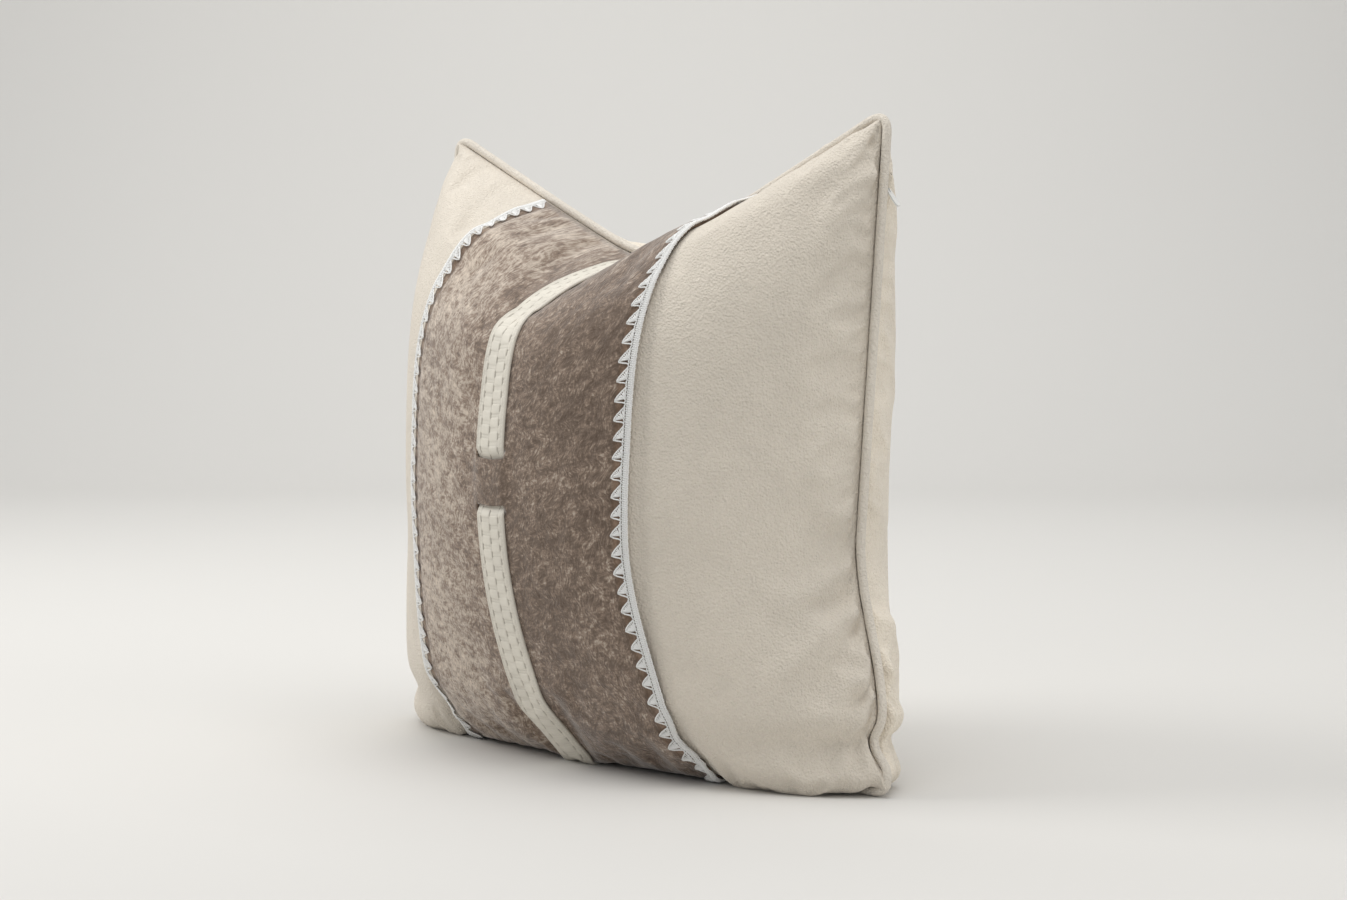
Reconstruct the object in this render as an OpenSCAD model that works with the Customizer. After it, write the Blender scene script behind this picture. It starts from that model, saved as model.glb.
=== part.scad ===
// Square throw pillow, stood on its bottom edge with the top edge pressed down in the middle.
// X runs across the front, Y runs from front to back and Z is up. The origin is on the floor,
// under the pressed point, midway between the front and the back crown.

/* [Cover outline] */
// Height of the top corners, at the seam
corner_h = 502; // [400:1:600]
// Width between the side seams, at the height where the foot starts to spread
waist_w = 462; // [380:1:560]
// Extra width of each side near the floor
foot_spread = 32; // [0:1:40]
// Height where the side seams start to spread towards the foot
foot_bend_h = 190; // [150:1:200]
// Height over which the side seams spread
foot_bend_run = 140; // [100:1:150]
// Extra reach of each bottom corner, which stands out as an ear
ear_spread = 12; // [0:1:20]
// Height of that ear
ear_h = 35; // [20:1:50]
// Outward run of each side seam per millimetre of height
side_slope = 0.035; // [0:0.005:0.05]
// Backward run of the seam plane per millimetre of height
lean = 0.05; // [0:0.005:0.06]
// Depth of the press in the top edge
chop_drop = 103; // [60:1:130]
// Rounding of the press, as a share of the half width
chop_round = 0.1; // [0.05:0.01:0.4]

/* [Stuffing] */
// Reach of the front panel in front of the seam plane
front_crown = 152; // [100:1:190]
// Reach of the back panel behind the seam plane
back_crown = 120; // [80:1:160]
// Share of the front crown that lies flat on the floor
front_base = 0.34; // [0.25:0.01:0.7]
// Share of the back crown that lies flat on the floor
back_base = 0.45; // [0.25:0.01:0.7]
// Depth of the valley that the press leaves in the front
valley_depth = 5; // [2:1:14]
// Half width of that valley
valley_w = 42; // [30:1:80]
// Height of the puff that the press leaves in the back, over the top seam
back_puff = 40; // [0:1:50]
// Half width of that puff
puff_w = 70; // [40:1:100]

/* [Cover fabric] */
// Thickness of the cover fabric
skin_t = 1.2; // [0.8:0.1:2]
// Outer radius of the piping
piping_r = 3.5; // [2.5:0.1:5]
// Radius of the cord in the piping
cord_r = 2.5; // [1.5:0.1:4]
// Width of the piping's sewn flange
flange_w = 8; // [5:0.5:10]
// Radius of the piping's path at the corners
corner_r = 14; // [14:0.5:25]

/* [Band and strap] */
// Width of the felt band, along the fabric
band_w = 250; // [180:1:320]
// Thickness of the felt
felt_t = 3; // [2:0.1:4]
// Reach of the trim's scallops over the felt
trim_in = 7.5; // [5:0.1:10]
// Reach of the trim's braid past the felt's edge
trim_out = 4.5; // [3:0.1:6]
// Thickness of the crochet trim
trim_t = 1.8; // [1:0.1:3]
// Width of the woven strap
strap_w = 30; // [20:1:50]
// Thickness of the woven strap
strap_t = 2.5; // [1.5:0.1:4]
// Height of the middle of the tunnel between the slits, as a share of the corner height
tunnel_share = 0.45; // [0.38:0.01:0.5]
// Height of that tunnel, from slit to slit
tunnel_h = 42; // [30:1:60]
// Height of each slit
slit_h = 9; // [8:0.5:12]

/* [Zip] */
// Height of the zip's lower end, over the spread of the side seam
zip_low = 190; // [190:1:260]
// Distance from the height of the top corners down to the zip's upper end
zip_below = 50; // [47:1:120]
// Distance from the back of the piping to the middle of the zip
zip_back = 3; // [2.7:0.1:4]
// Radius of each coil of the zip
coil_r = 0.8; // [0.6:0.1:1]
// Width of the slider
slider_w = 7.8; // [7.6:0.1:9]
// Length of the slider
slider_l = 9; // [7:0.5:12]
// Radius of the pull's hinge bar
pin_r = 0.6; // [0.5:0.05:0.8]
// Radial clearance of the hinge bar in the slider's eye
pin_gap = 0.06; // [0.02:0.01:0.1]
// Length of the pull, from its hinge to its tip
pull_l = 16; // [10:0.5:20]
// Width of the pull
pull_w = 4.8; // [4:0.1:5]
// Thickness of the pull
pull_t = 1.2; // [0.8:0.1:1.6]
// Angle of the pull away from the zip
pull_angle = 43; // [0:1:60]

/* [Insert] */
// Thickness of the insert's casing
casing_t = 0.8; // [0.5:0.1:1.5]
// Distance from the cover's seam to the insert's seam
insert_margin = 18; // [16:1:25]
// Gap between the insert and the cover, where the strap dents the cover
insert_gap = 0.6; // [0.5:0.1:2]

/* [Hidden] */
$fn = 32;

// Sides of the pillow
FRONT = -1;
BACK = 1;

// Colours
CREAM = [0.90, 0.87, 0.81];
CREAM_BACK = [0.89, 0.85, 0.78];
CREAM_CORD = [0.91, 0.89, 0.84];
TAUPE = [0.55, 0.48, 0.42];
WHITE = [0.94, 0.94, 0.93];
IVORY = [0.90, 0.89, 0.85];
TAPE = [0.92, 0.90, 0.86];
LINING = [0.95, 0.95, 0.94];

// Clearances between sewn layers, and between the layers at a seam
layer_gap = 0.4;
seam_gap = 0.5;

// Place of the seam plane at the floor: the two crowns reach equally far from the origin
leant_crown = lean * 0.4 * corner_h;
strap_reach = layer_gap + felt_t + layer_gap + strap_t;
seam_y = (front_crown + strap_reach - back_crown) / 2 - leant_crown;

// Panels meet the piping beside its flange
seam_in = piping_r + 3 * seam_gap;
seam_side = skin_t + piping_r - seam_gap;
piping_z = piping_r;
tuck_h = 2 * piping_r + 2 * seam_gap;
tuck_w = 8;

// The share of a panel's rows that lies on the floor, and the height of the crown
floor_share = 0.12;
crown_share = [0.52, 0.42];
lower_round = [0.75, 0.5];
upper_power = [3.75, 2.2];
upper_round = [0.7, 0.5];
crown_power = [1.0, 0.85];

// Half widths as shares of a quarter turn across the panel
waist_half = waist_w / 2;
band_half = asin_share(band_w / 2 * 0.965);
strap_half = asin_share(strap_w / 2);
trim_step_in = asin_share(band_w / 2 * 0.965 - trim_in) - band_half;
trim_step_out = asin_share(band_w / 2 * 0.965 + trim_out) - band_half;

function asin_share(x) = asin(x / waist_half) / 90;
function clamp(x, low, high) = min(max(x, low), high);
function ease(x) = let (t = clamp(x, 0, 1)) t * t * (3 - 2 * t);
function blend(a, b, t) = a + (b - a) * t;
function pick(pair, side) = side == FRONT ? pair[0] : pair[1];

// Outline: half width at a height, and height of the top seam at a share of the half width
function side_x(z) =
    waist_half + side_slope * (z - foot_bend_h)
    + foot_spread * ease((foot_bend_h - z) / foot_bend_run)
    + ear_spread * ease((ear_h - z) / ear_h);
function chop(share) =
    (sqrt(share * share + chop_round * chop_round) - chop_round)
    / (sqrt(1 + chop_round * chop_round) - chop_round);
function top_z(share) = corner_h - chop_drop * (1 - chop(abs(share)));

// The press pushes the stuffing up behind the middle of the front, which is fuller there
middle_w = 0.22;
middle_crown = 0.1;
middle_power = 3;
middle_round = 0.5;
function middle(p, side) = side == FRONT ? exp(-pow(p / middle_w, 2)) : 0;

// Reach of a panel, from 0 at its seams to 1 at its crown, for a share of its height
function rise(s, p, side) =
    let (
        base = pick([front_base, back_base], side),
        near = middle(p, side),
        crest = pick(crown_share, side) + middle_crown * near,
        power = pick(upper_power, side) + middle_power * near,
        roundness = pick(upper_round, side) + middle_round * near
    )
    s < crest
        ? base + (1 - base) * pow(max(0, 1 - pow(1 - s / crest, 2)), pick(lower_round, side))
        : pow(max(0, 1 - pow((s - crest) / (1 - crest), power)), roundness);
function reach(p, v, side) =
    v < floor_share
        ? pick([front_base, back_base], side) * v / floor_share
        : rise((v - floor_share) / (1 - floor_share), p, side);

// How far the layers sewn over the front lift it off the floor
stack_t = felt_t + max(strap_t, trim_t) + 2 * layer_gap;
function stack_lift(p, side) =
    side == BACK
        ? 0
        : stack_t * (1 - ease((abs(p) - band_half - trim_step_out) / 0.05));

// Valley that the press leaves in the front
function valley(x, s) =
    valley_depth * exp(-pow(x / valley_w, 2)) * ease((s - 0.62) / 0.25) * ease((1 - s) / 0.12);

// Puff that the press leaves in the back, on both sides of the pressed point
function puff(x, s) =
    back_puff * exp(-pow(x / puff_w, 2)) * ease((1 - s) / 0.07) * ease((s - 0.65) / 0.27);

// A point of a panel: p runs from -1 at the left seam to 1 at the right, v from 0 at the bottom
// seam to 1 at the top. edge is the distance in from the seam, crown_cut the loss of reach,
// and floor_gap the height over the panel's own floor.
function panel_point(p, v, side, edge = seam_in, crown_cut = 0, floor_gap = 0) =
    let (
        share = sin(90 * p),
        spread = pow(max(0, cos(90 * p)), pick(crown_power, side)),
        s = max(0, (v - floor_share) / (1 - floor_share)),
        level = ease(spread / 0.6),
        out = (pick([front_crown, back_crown], side) - crown_cut) * spread * reach(p, v, side),
        low = (stack_lift(p, side) + floor_gap) * min(1, spread * 3)
            + (tuck_h + edge - seam_in) * pow(max(0, 1 - out / (tuck_w + edge - seam_in)), 2),
        high = top_z(share * (1 - edge / side_x(corner_h))) - edge,
        flat_z = low + (high - low) * blend(v, s, level),
        x = (side_x(flat_z) - edge) * share,
        z = flat_z + (side == BACK ? puff(x, s) : 0),
        y = max(out - (side == FRONT ? valley(x, s) : 0), 0)
    )
    [x, seam_y + lean * z + side * (seam_side + y), z];

// Outward normal of a panel at a point
function panel_normal(p, v, side, edge, cut, gap) =
    let (
        h = 0.01,
        a = panel_point(max(p - h, -1), v, side, edge, cut, gap),
        b = panel_point(min(p + h, 1), v, side, edge, cut, gap),
        c = panel_point(p, max(v - h, 0), side, edge, cut, gap),
        d = panel_point(p, min(v + h, 1), side, edge, cut, gap),
        n = cross(b - a, d - c)
    )
    -side * n / norm(n);

// Rows and columns shared by all layers, so that they nest
dent_depth = strap_t + 2 * layer_gap + seam_gap;
dent_run = 1.43 * dent_depth;
slit_pad = dent_run;
slit_low = tunnel_share * corner_h - tunnel_h / 2;
slit_high = tunnel_share * corner_h + tunnel_h / 2;
function row_at(z) =
    let (low = stack_t, high = top_z(0) - seam_in)
    floor_share + (1 - floor_share) * (z - low) / (high - low);
dent_rows = [
    row_at(slit_low - slit_pad - slit_h / 2), row_at(slit_low - slit_h / 2),
    row_at(slit_high + slit_h / 2), row_at(slit_high + slit_pad + slit_h / 2)
];
ROWS = concat(
    [0, 0.035, 0.08],
    [for (s = [0 : 7]) blend(floor_share, dent_rows[0], ease_out(s / 8))],
    [dent_rows[0], dent_rows[1]],
    [for (k = [1 : 2]) blend(dent_rows[1], dent_rows[2], k / 3)],
    [dent_rows[2], dent_rows[3]],
    [for (s = [1 : 9]) blend(dent_rows[3], 1, 1 - pow(1 - s / 9, 1.6))]
);
function ease_out(t) = pow(t, 1.3);
dent_edge = strap_half + asin_share(dent_run);
HALF_COLUMNS = concat(
    [strap_half, dent_edge],
    [for (k = [1 : 4]) blend(dent_edge, band_half, k / 4)],
    [for (k = [1 : 8]) blend(band_half, 1, k / 8)]
);
COLUMNS = concat([for (k = [len(HALF_COLUMNS) - 1 : -1 : 0]) -HALF_COLUMNS[k]], [0], HALF_COLUMNS);
BAND_COLUMNS = [for (p = COLUMNS) if (abs(p) <= band_half + 0.0001) p];

// Dent of the layers under the felt, where the strap runs between the slits
function dent(p, v) =
    abs(p) < strap_half + 0.0001 && v > dent_rows[1] - 0.0001 && v < dent_rows[2] + 0.0001
        ? dent_depth
        : 0;

// Grid of points at an offset along the normal; sink takes the dent in. What lies over the
// panel is pressed thin where it is sewn into the top and bottom seams.
function pressed(v) = v < 0.001 || v > 0.999 ? 0.3 : 1;
function layer(columns, rows, side, offset, sink = 0, edge = seam_in, cut = 0, gap = 0) = [
    for (v = rows) for (p = columns)
        panel_point(p, v, side, edge, cut, gap)
        + panel_normal(p, v, side, edge, cut, gap)
            * (max(offset, 0) * pressed(v) + min(offset, 0) - sink * dent(p, v))
];

// Triangles of a grid with n columns and m rows, starting at vertex `first`
function grid_faces(n, m, first, flip) = [
    for (j = [0 : m - 2]) for (i = [0 : n - 2]) for (half = [0, 1])
        let (
            a = first + j * n + i,
            tri = half == 0 ? [a, a + 1, a + n + 1] : [a, a + n + 1, a + n]
        )
        flip ? [tri[2], tri[1], tri[0]] : tri
];
// Vertices around the edge of a grid
function grid_rim(n, m) = concat(
    [for (i = [0 : n - 1]) i],
    [for (j = [1 : m - 1]) j * n + n - 1],
    [for (i = [n - 2 : -1 : 0]) (m - 1) * n + i],
    [for (j = [m - 2 : -1 : 1]) j * n]
);
// Triangles that join the rims of two grids
function rim_faces(n, m, first_a, first_b, flip) =
    let (rim = grid_rim(n, m), count = len(rim))
    [
        for (k = [0 : count - 1]) for (half = [0, 1])
            let (
                here = rim[k],
                next = rim[(k + 1) % count],
                tri = half == 0
                    ? [first_a + here, first_b + here, first_b + next]
                    : [first_a + here, first_b + next, first_a + next]
            )
            flip ? [tri[2], tri[1], tri[0]] : tri
    ];

// A closed sheet between an outer and an inner grid
module sheet(outer, inner, n, m, side) {
    first = len(outer);
    turned = side == BACK;
    polyhedron(
        points = concat(outer, inner),
        faces = concat(
            grid_faces(n, m, 0, !turned),
            grid_faces(n, m, first, turned),
            rim_faces(n, m, 0, first, !turned)
        ),
        convexity = 6
    );
}

// The piping's path: up the right side, along the top, down the left side and along the bottom
side_steps = 12;
top_steps = 8;
bend_steps = 4;
side_low = piping_z + corner_r;
side_high = corner_h - corner_r;
function bend(a, corner, b) = [
    for (k = [1 : bend_steps - 1])
        let (t = k / bend_steps)
        (1 - t) * (1 - t) * a + 2 * t * (1 - t) * corner + t * t * b
];
function side_at(z, sign) = [sign * side_x(z), z];
function top_at(x) = [x, top_z(x / side_x(corner_h))];
top_run = side_x(corner_h) - corner_r;
foot_run = side_x(piping_z) - corner_r;
right_side = [for (k = [0 : side_steps]) side_at(blend(side_low, side_high, k / side_steps), 1)];
top_edge = [
    for (k = [-top_steps : top_steps])
        top_at(-top_run * (k < 0 ? -1 : 1) * pow(abs(k) / top_steps, 1.3))
];
left_side = [for (k = [0 : side_steps]) side_at(blend(side_high, side_low, k / side_steps), -1)];
foot_edge = [for (k = [0 : 6]) [blend(-foot_run, foot_run, k / 6), piping_z]];
PATH = concat(
    right_side,
    bend(right_side[side_steps], [side_x(corner_h), corner_h], top_edge[0]),
    top_edge,
    bend(top_edge[2 * top_steps], [-side_x(corner_h), corner_h], left_side[0]),
    left_side,
    bend(left_side[side_steps], [-side_x(piping_z), piping_z], foot_edge[0]),
    foot_edge,
    bend(foot_edge[6], [side_x(piping_z), piping_z], right_side[0])
);

// Sweep of a closed outline, given as [outward, backward] points, around the closed path
function ring(k, outline) =
    let (
        count = len(PATH),
        along = PATH[(k + 1) % count] - PATH[(k + count - 1) % count],
        out = [along[1], -along[0]] / norm(along),
        c = PATH[k]
    )
    [
        for (q = outline)
            let (x = c[0] + out[0] * q[0], z = c[1] + out[1] * q[0])
            [x, seam_y + lean * z + q[1], z]
    ];
module sweep(outline) {
    n = len(outline);
    count = len(PATH);
    polyhedron(
        points = [for (k = [0 : count - 1]) each ring(k, outline)],
        faces = [
            for (k = [0 : count - 1]) for (i = [0 : n - 1]) for (half = [0, 1])
                let (
                    a = k * n + i,
                    b = k * n + (i + 1) % n,
                    c = ((k + 1) % count) * n + (i + 1) % n,
                    d = ((k + 1) % count) * n + i
                )
                half == 0 ? [a, c, b] : [a, d, c]
        ],
        convexity = 8
    );
}
function arc(r, from, to, steps) = [
    for (k = [0 : steps]) let (t = blend(from, to, k / steps)) r * [cos(t), sin(t)]
];

// Outline of the piping sleeve: fabric folded round the cord, with two leaves sewn together
leaf_t = 0.6;
leaf_gap = 0.15;
sleeve_in = cord_r + 0.35;
outer_stop = 180 - asin((leaf_t + leaf_gap) / piping_r);
inner_stop = 180 - asin(leaf_gap / sleeve_in);
leaf_end = -(piping_r + flange_w);
sleeve_outline = concat(
    [[leaf_end, -leaf_t - leaf_gap]],
    arc(piping_r, -outer_stop, outer_stop, 9),
    [[leaf_end, leaf_t + leaf_gap], [leaf_end, leaf_gap]],
    arc(sleeve_in, inner_stop, -inner_stop, 7),
    [[leaf_end, -leaf_gap]]
);
cord_outline = [for (k = [0 : 7]) cord_r * [cos(45 * k), sin(45 * k)]];

// Zip frame: Z runs up the zip, X points out of the side of the pillow, Y to the back
zip_high = corner_h - zip_below;
zip_y = piping_r + zip_back;
zip_foot = [side_x(zip_low), seam_y + lean * zip_low, zip_low];
zip_head = [side_x(zip_high), seam_y + lean * zip_high, zip_high];
zip_l = norm(zip_head - zip_foot);
zip_dir = (zip_head - zip_foot) / zip_l;
zip_yaw = asin(zip_dir[0]);
zip_pitch = atan2(-zip_dir[1], zip_dir[2]);
module in_zip_frame() {
    translate(zip_foot)
        rotate([zip_pitch, 0, 0])
            rotate([0, zip_yaw, 0])
                translate([0, zip_y, 0])
                    children();
}
tape_x = -seam_in - skin_t - 2.4;
tape_t = 0.6;
zip_gap = 0.7;
tape_past = 6;
front_tape_w = zip_y - zip_gap - seam_side / 2;
back_tape_w = 3.6;
coil_x = tape_x - coil_r - 0.1;
coil_y = zip_gap + coil_r;
stop_l = 3;
slider_top = zip_l - stop_l - 1;
wing_t = 1;
wing_x = coil_x - coil_r - 0.9 - wing_t;
bridge_x = -3.8;
neck_t = 0.8;
eye_r = pin_r + 1.1;
eye_x = bridge_x + wing_t + 2.2;
eye_z = slider_top - slider_l / 2;
slot_back = 0.9;

module box_between(low, high) {
    translate(low)
        cube(high - low);
}

module front_panel() {
    color(CREAM)
        sheet(
            layer(COLUMNS, ROWS, FRONT, 0, 1),
            layer(COLUMNS, ROWS, FRONT, -skin_t, 1),
            len(COLUMNS), len(ROWS), FRONT
        );
}

module back_panel() {
    color(CREAM_BACK)
        difference() {
            sheet(
                layer(COLUMNS, ROWS, BACK, 0),
                layer(COLUMNS, ROWS, BACK, -skin_t),
                len(COLUMNS), len(ROWS), BACK
            );
            in_zip_frame()
                box_between(
                    [-2 * seam_in, -zip_y - piping_r, -tape_past / 2],
                    [piping_r, slot_back, zip_l + tape_past / 2]
                );
        }
}

module felt_band() {
    color(TAUPE)
        difference() {
            sheet(
                layer(BAND_COLUMNS, ROWS, FRONT, layer_gap + felt_t),
                layer(BAND_COLUMNS, ROWS, FRONT, layer_gap),
                len(BAND_COLUMNS), len(ROWS), FRONT
            );
            for (z = [slit_low, slit_high])
                box_between(
                    [-strap_w / 2 - layer_gap, seam_y - 1.2 * front_crown, z - slit_h / 2],
                    [strap_w / 2 + layer_gap, seam_y - front_crown / 2, z + slit_h / 2]
                );
        }
}

module crochet_trim(sign) {
    columns = sign > 0
        ? [band_half + trim_step_in, band_half, band_half + trim_step_out]
        : [-band_half - trim_step_out, -band_half, -band_half - trim_step_in];
    low = felt_t + 2 * layer_gap;
    color(WHITE)
        sheet(
            layer(columns, ROWS, FRONT, low + trim_t),
            layer(columns, ROWS, FRONT, low),
            len(columns), len(ROWS), FRONT
        );
}
module crochet_trim_left() { crochet_trim(-1); }
module crochet_trim_right() { crochet_trim(1); }

// The strap's bottom face lies over the felt, and between the slits under it
over_felt = felt_t + 2 * layer_gap;
under_felt = -strap_t - layer_gap - seam_gap / 2;
strap_bend = 2.5;
strap_rows = concat(
    [for (v = ROWS) if (v < dent_rows[1] - 0.0001) v],
    [row_at(slit_low - strap_bend), row_at(slit_low + strap_bend)],
    [for (k = [1 : 2]) blend(dent_rows[1], dent_rows[2], k / 3)],
    [row_at(slit_high - strap_bend), row_at(slit_high + strap_bend)],
    [for (v = ROWS) if (v > dent_rows[2] + 0.0001) v]
);
function strap_level(v) =
    v > row_at(slit_low) && v < row_at(slit_high) ? under_felt : over_felt;
strap_columns = [-strap_half, 0, strap_half];
function strap_layer(lift) = [
    for (v = strap_rows) for (p = strap_columns)
        panel_point(p, v, FRONT)
        + panel_normal(p, v, FRONT, seam_in, 0, 0) * (strap_level(v) + lift) * pressed(v)
];
module woven_strap() {
    color(IVORY)
        sheet(strap_layer(strap_t), strap_layer(0), 3, len(strap_rows), FRONT);
}

module piping_sleeve() {
    color(CREAM_CORD)
        sweep(sleeve_outline);
}

module piping_cord() {
    color(WHITE)
        sweep(cord_outline);
}

module zip_tape_front() {
    color(TAPE)
        in_zip_frame()
            box_between(
                [tape_x, -zip_gap - front_tape_w, -tape_past],
                [tape_x + tape_t, -zip_gap, zip_l + tape_past]
            );
}

module zip_tape_back() {
    color(TAPE)
        in_zip_frame()
            box_between(
                [tape_x, zip_gap, -tape_past],
                [tape_x + tape_t, zip_gap + back_tape_w, zip_l + tape_past]
            );
}

module zip_coil(sign) {
    color(WHITE)
        in_zip_frame()
            translate([coil_x, sign * coil_y, stop_l + 0.4])
                cylinder(r = coil_r, h = zip_l - 2 * stop_l - 0.8);
}
module zip_coil_front() { zip_coil(-1); }
module zip_coil_back() { zip_coil(1); }

module zip_stop(z) {
    color(WHITE)
        in_zip_frame()
            box_between(
                [coil_x - coil_r, -coil_y - coil_r, z],
                [tape_x - 0.1, coil_y + coil_r, z + stop_l]
            );
}
module zip_top_stop() { zip_stop(zip_l - stop_l); }
module zip_bottom_stop() { zip_stop(0); }

module zip_slider() {
    side_x_in = wing_x + wing_t;
    color(WHITE)
        in_zip_frame()
            difference() {
                union() {
                    box_between(
                        [wing_x, -slider_w / 2, slider_top - slider_l],
                        [side_x_in, slider_w / 2, slider_top]
                    );
                    for (sign = [-1, 1])
                        translate([0, sign * (slider_w / 2 - neck_t / 2), 0])
                            box_between(
                                [wing_x, -neck_t / 2, slider_top - slider_l],
                                [tape_x - 0.6, neck_t / 2, slider_top]
                            );
                    box_between(
                        [wing_x, -neck_t / 2, eye_z - slider_l / 4],
                        [bridge_x + wing_t / 2, neck_t / 2, eye_z + slider_l / 4]
                    );
                    box_between(
                        [bridge_x, -1.9, slider_top - slider_l + 0.5],
                        [bridge_x + wing_t, 1.9, slider_top - 0.5]
                    );
                    box_between(
                        [bridge_x + wing_t / 2, -neck_t / 2, eye_z - eye_r],
                        [eye_x, neck_t / 2, eye_z + eye_r]
                    );
                    translate([eye_x, 0, eye_z])
                        rotate([90, 0, 0])
                            cylinder(r = eye_r, h = neck_t, center = true);
                }
                translate([eye_x, 0, eye_z])
                    rotate([90, 0, 0])
                        cylinder(r = pin_r + pin_gap, h = 2 * neck_t, center = true);
            }
}

// The pull in its own frame: hinge at the origin, leaf hanging down along -Z
module pull_leaf() {
    window_w = neck_t + 0.8;
    union() {
        rotate([90, 0, 0])
            cylinder(r = pin_r, h = pull_w, center = true);
        difference() {
            union() {
                translate([0, 0, -pull_l + pull_w / 2])
                    rotate([0, 90, 0])
                        cylinder(r = pull_w / 2, h = pull_t, center = true);
                box_between(
                    [-pull_t / 2, -pull_w / 2, -pull_l + pull_w / 2],
                    [pull_t / 2, pull_w / 2, 0]
                );
            }
            box_between([-pull_t, -window_w / 2, -eye_r - 0.5], [pull_t, window_w / 2, 1]);
        }
    }
}
module zip_pull() {
    color(WHITE)
        in_zip_frame()
            translate([eye_x, 0, eye_z])
                rotate([0, -pull_angle, 0])
                    pull_leaf();
}

// The insert's layers, set in from the cover
insert_cut = skin_t + dent_depth + insert_gap;
function insert_layer(side, offset) =
    layer(COLUMNS, ROWS, side, offset, 0, insert_margin, insert_cut, insert_cut);
module insert_casing(side) {
    color(LINING)
        sheet(
            insert_layer(side, 0),
            insert_layer(side, -casing_t),
            len(COLUMNS), len(ROWS), side
        );
}
module insert_casing_front() { insert_casing(FRONT); }
module insert_casing_back() { insert_casing(BACK); }

module insert_filling() {
    depth = -casing_t - 2 * layer_gap;
    front = insert_layer(FRONT, depth);
    back = insert_layer(BACK, depth);
    n = len(COLUMNS);
    m = len(ROWS);
    color(LINING)
        polyhedron(
            points = concat(front, back),
            faces = concat(
                grid_faces(n, m, 0, true),
                grid_faces(n, m, len(front), false),
                rim_faces(n, m, 0, len(front), true)
            ),
            convexity = 6
        );
}

front_panel();
back_panel();
felt_band();
crochet_trim_left();
crochet_trim_right();
woven_strap();
piping_sleeve();
piping_cord();
zip_tape_front();
zip_tape_back();
zip_coil_front();
zip_coil_back();
zip_top_stop();
zip_bottom_stop();
zip_slider();
zip_pull();
insert_casing_front();
insert_casing_back();
insert_filling();
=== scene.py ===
"""Square throw pillow that stands on its bottom edge, with its top edge pressed down in the middle.

Everything is in metres, in the frame's own axes: X runs across the front, Y from front to back
and Z up. A panel's form is worked out first. Its fabric is then run as cloth, which changes it a
little, and folds from a list are laid on it. Every piece sewn to the cover follows the result.
"""

import math

import bmesh
import bpy
import numpy as np
from bpy.props import FloatProperty, FloatVectorProperty, IntProperty, PointerProperty
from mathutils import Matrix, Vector


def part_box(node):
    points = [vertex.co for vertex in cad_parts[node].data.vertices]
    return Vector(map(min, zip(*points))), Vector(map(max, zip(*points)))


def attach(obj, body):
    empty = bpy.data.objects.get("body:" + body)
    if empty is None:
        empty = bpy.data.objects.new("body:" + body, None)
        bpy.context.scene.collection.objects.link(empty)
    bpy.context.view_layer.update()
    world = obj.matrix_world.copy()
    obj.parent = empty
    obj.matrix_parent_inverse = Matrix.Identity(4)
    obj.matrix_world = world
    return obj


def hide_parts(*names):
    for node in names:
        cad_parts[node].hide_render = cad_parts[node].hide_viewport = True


bl_info = {
    "name": "Pressed throw pillow",
    "version": (1, 0, 0),
    "blender": (4, 5, 0),
    "location": "3D View > Sidebar > Pillow",
    "description": "Builds a piped throw pillow with a felt band, crochet trims and a woven strap",
    "category": "Add Mesh",
}

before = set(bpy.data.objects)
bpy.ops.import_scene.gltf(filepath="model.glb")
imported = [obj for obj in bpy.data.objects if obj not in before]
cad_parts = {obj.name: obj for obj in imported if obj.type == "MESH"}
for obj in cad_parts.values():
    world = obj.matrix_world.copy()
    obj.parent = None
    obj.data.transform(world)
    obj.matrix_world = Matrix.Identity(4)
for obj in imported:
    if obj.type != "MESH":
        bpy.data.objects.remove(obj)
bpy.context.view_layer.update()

FRONT = -1
BACK = 1
MM = 0.001
LAYER_GAP = 0.4 * MM
SEAM_GAP = 0.5 * MM


# ---------------------------------------------------------------- settings


def size(name, description, default, low=0.0):
    """A length that a user can set, in millimetres here and in metres in the panel."""
    return FloatProperty(
        name=name,
        description=description,
        default=default * MM,
        min=low * MM,
        precision=5,
        unit="LENGTH",
    )


def part(name, description, default, low=0.0, high=1.0):
    """A share or another plain number that a user can set."""
    return FloatProperty(
        name=name, description=description, default=default, min=low, max=high, precision=3
    )


def colour(name, description, default):
    """A colour that a user can set, in linear red, green and blue."""
    return FloatVectorProperty(
        name=name, description=description, default=default, size=3, min=0, max=1, subtype="COLOR"
    )


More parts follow.
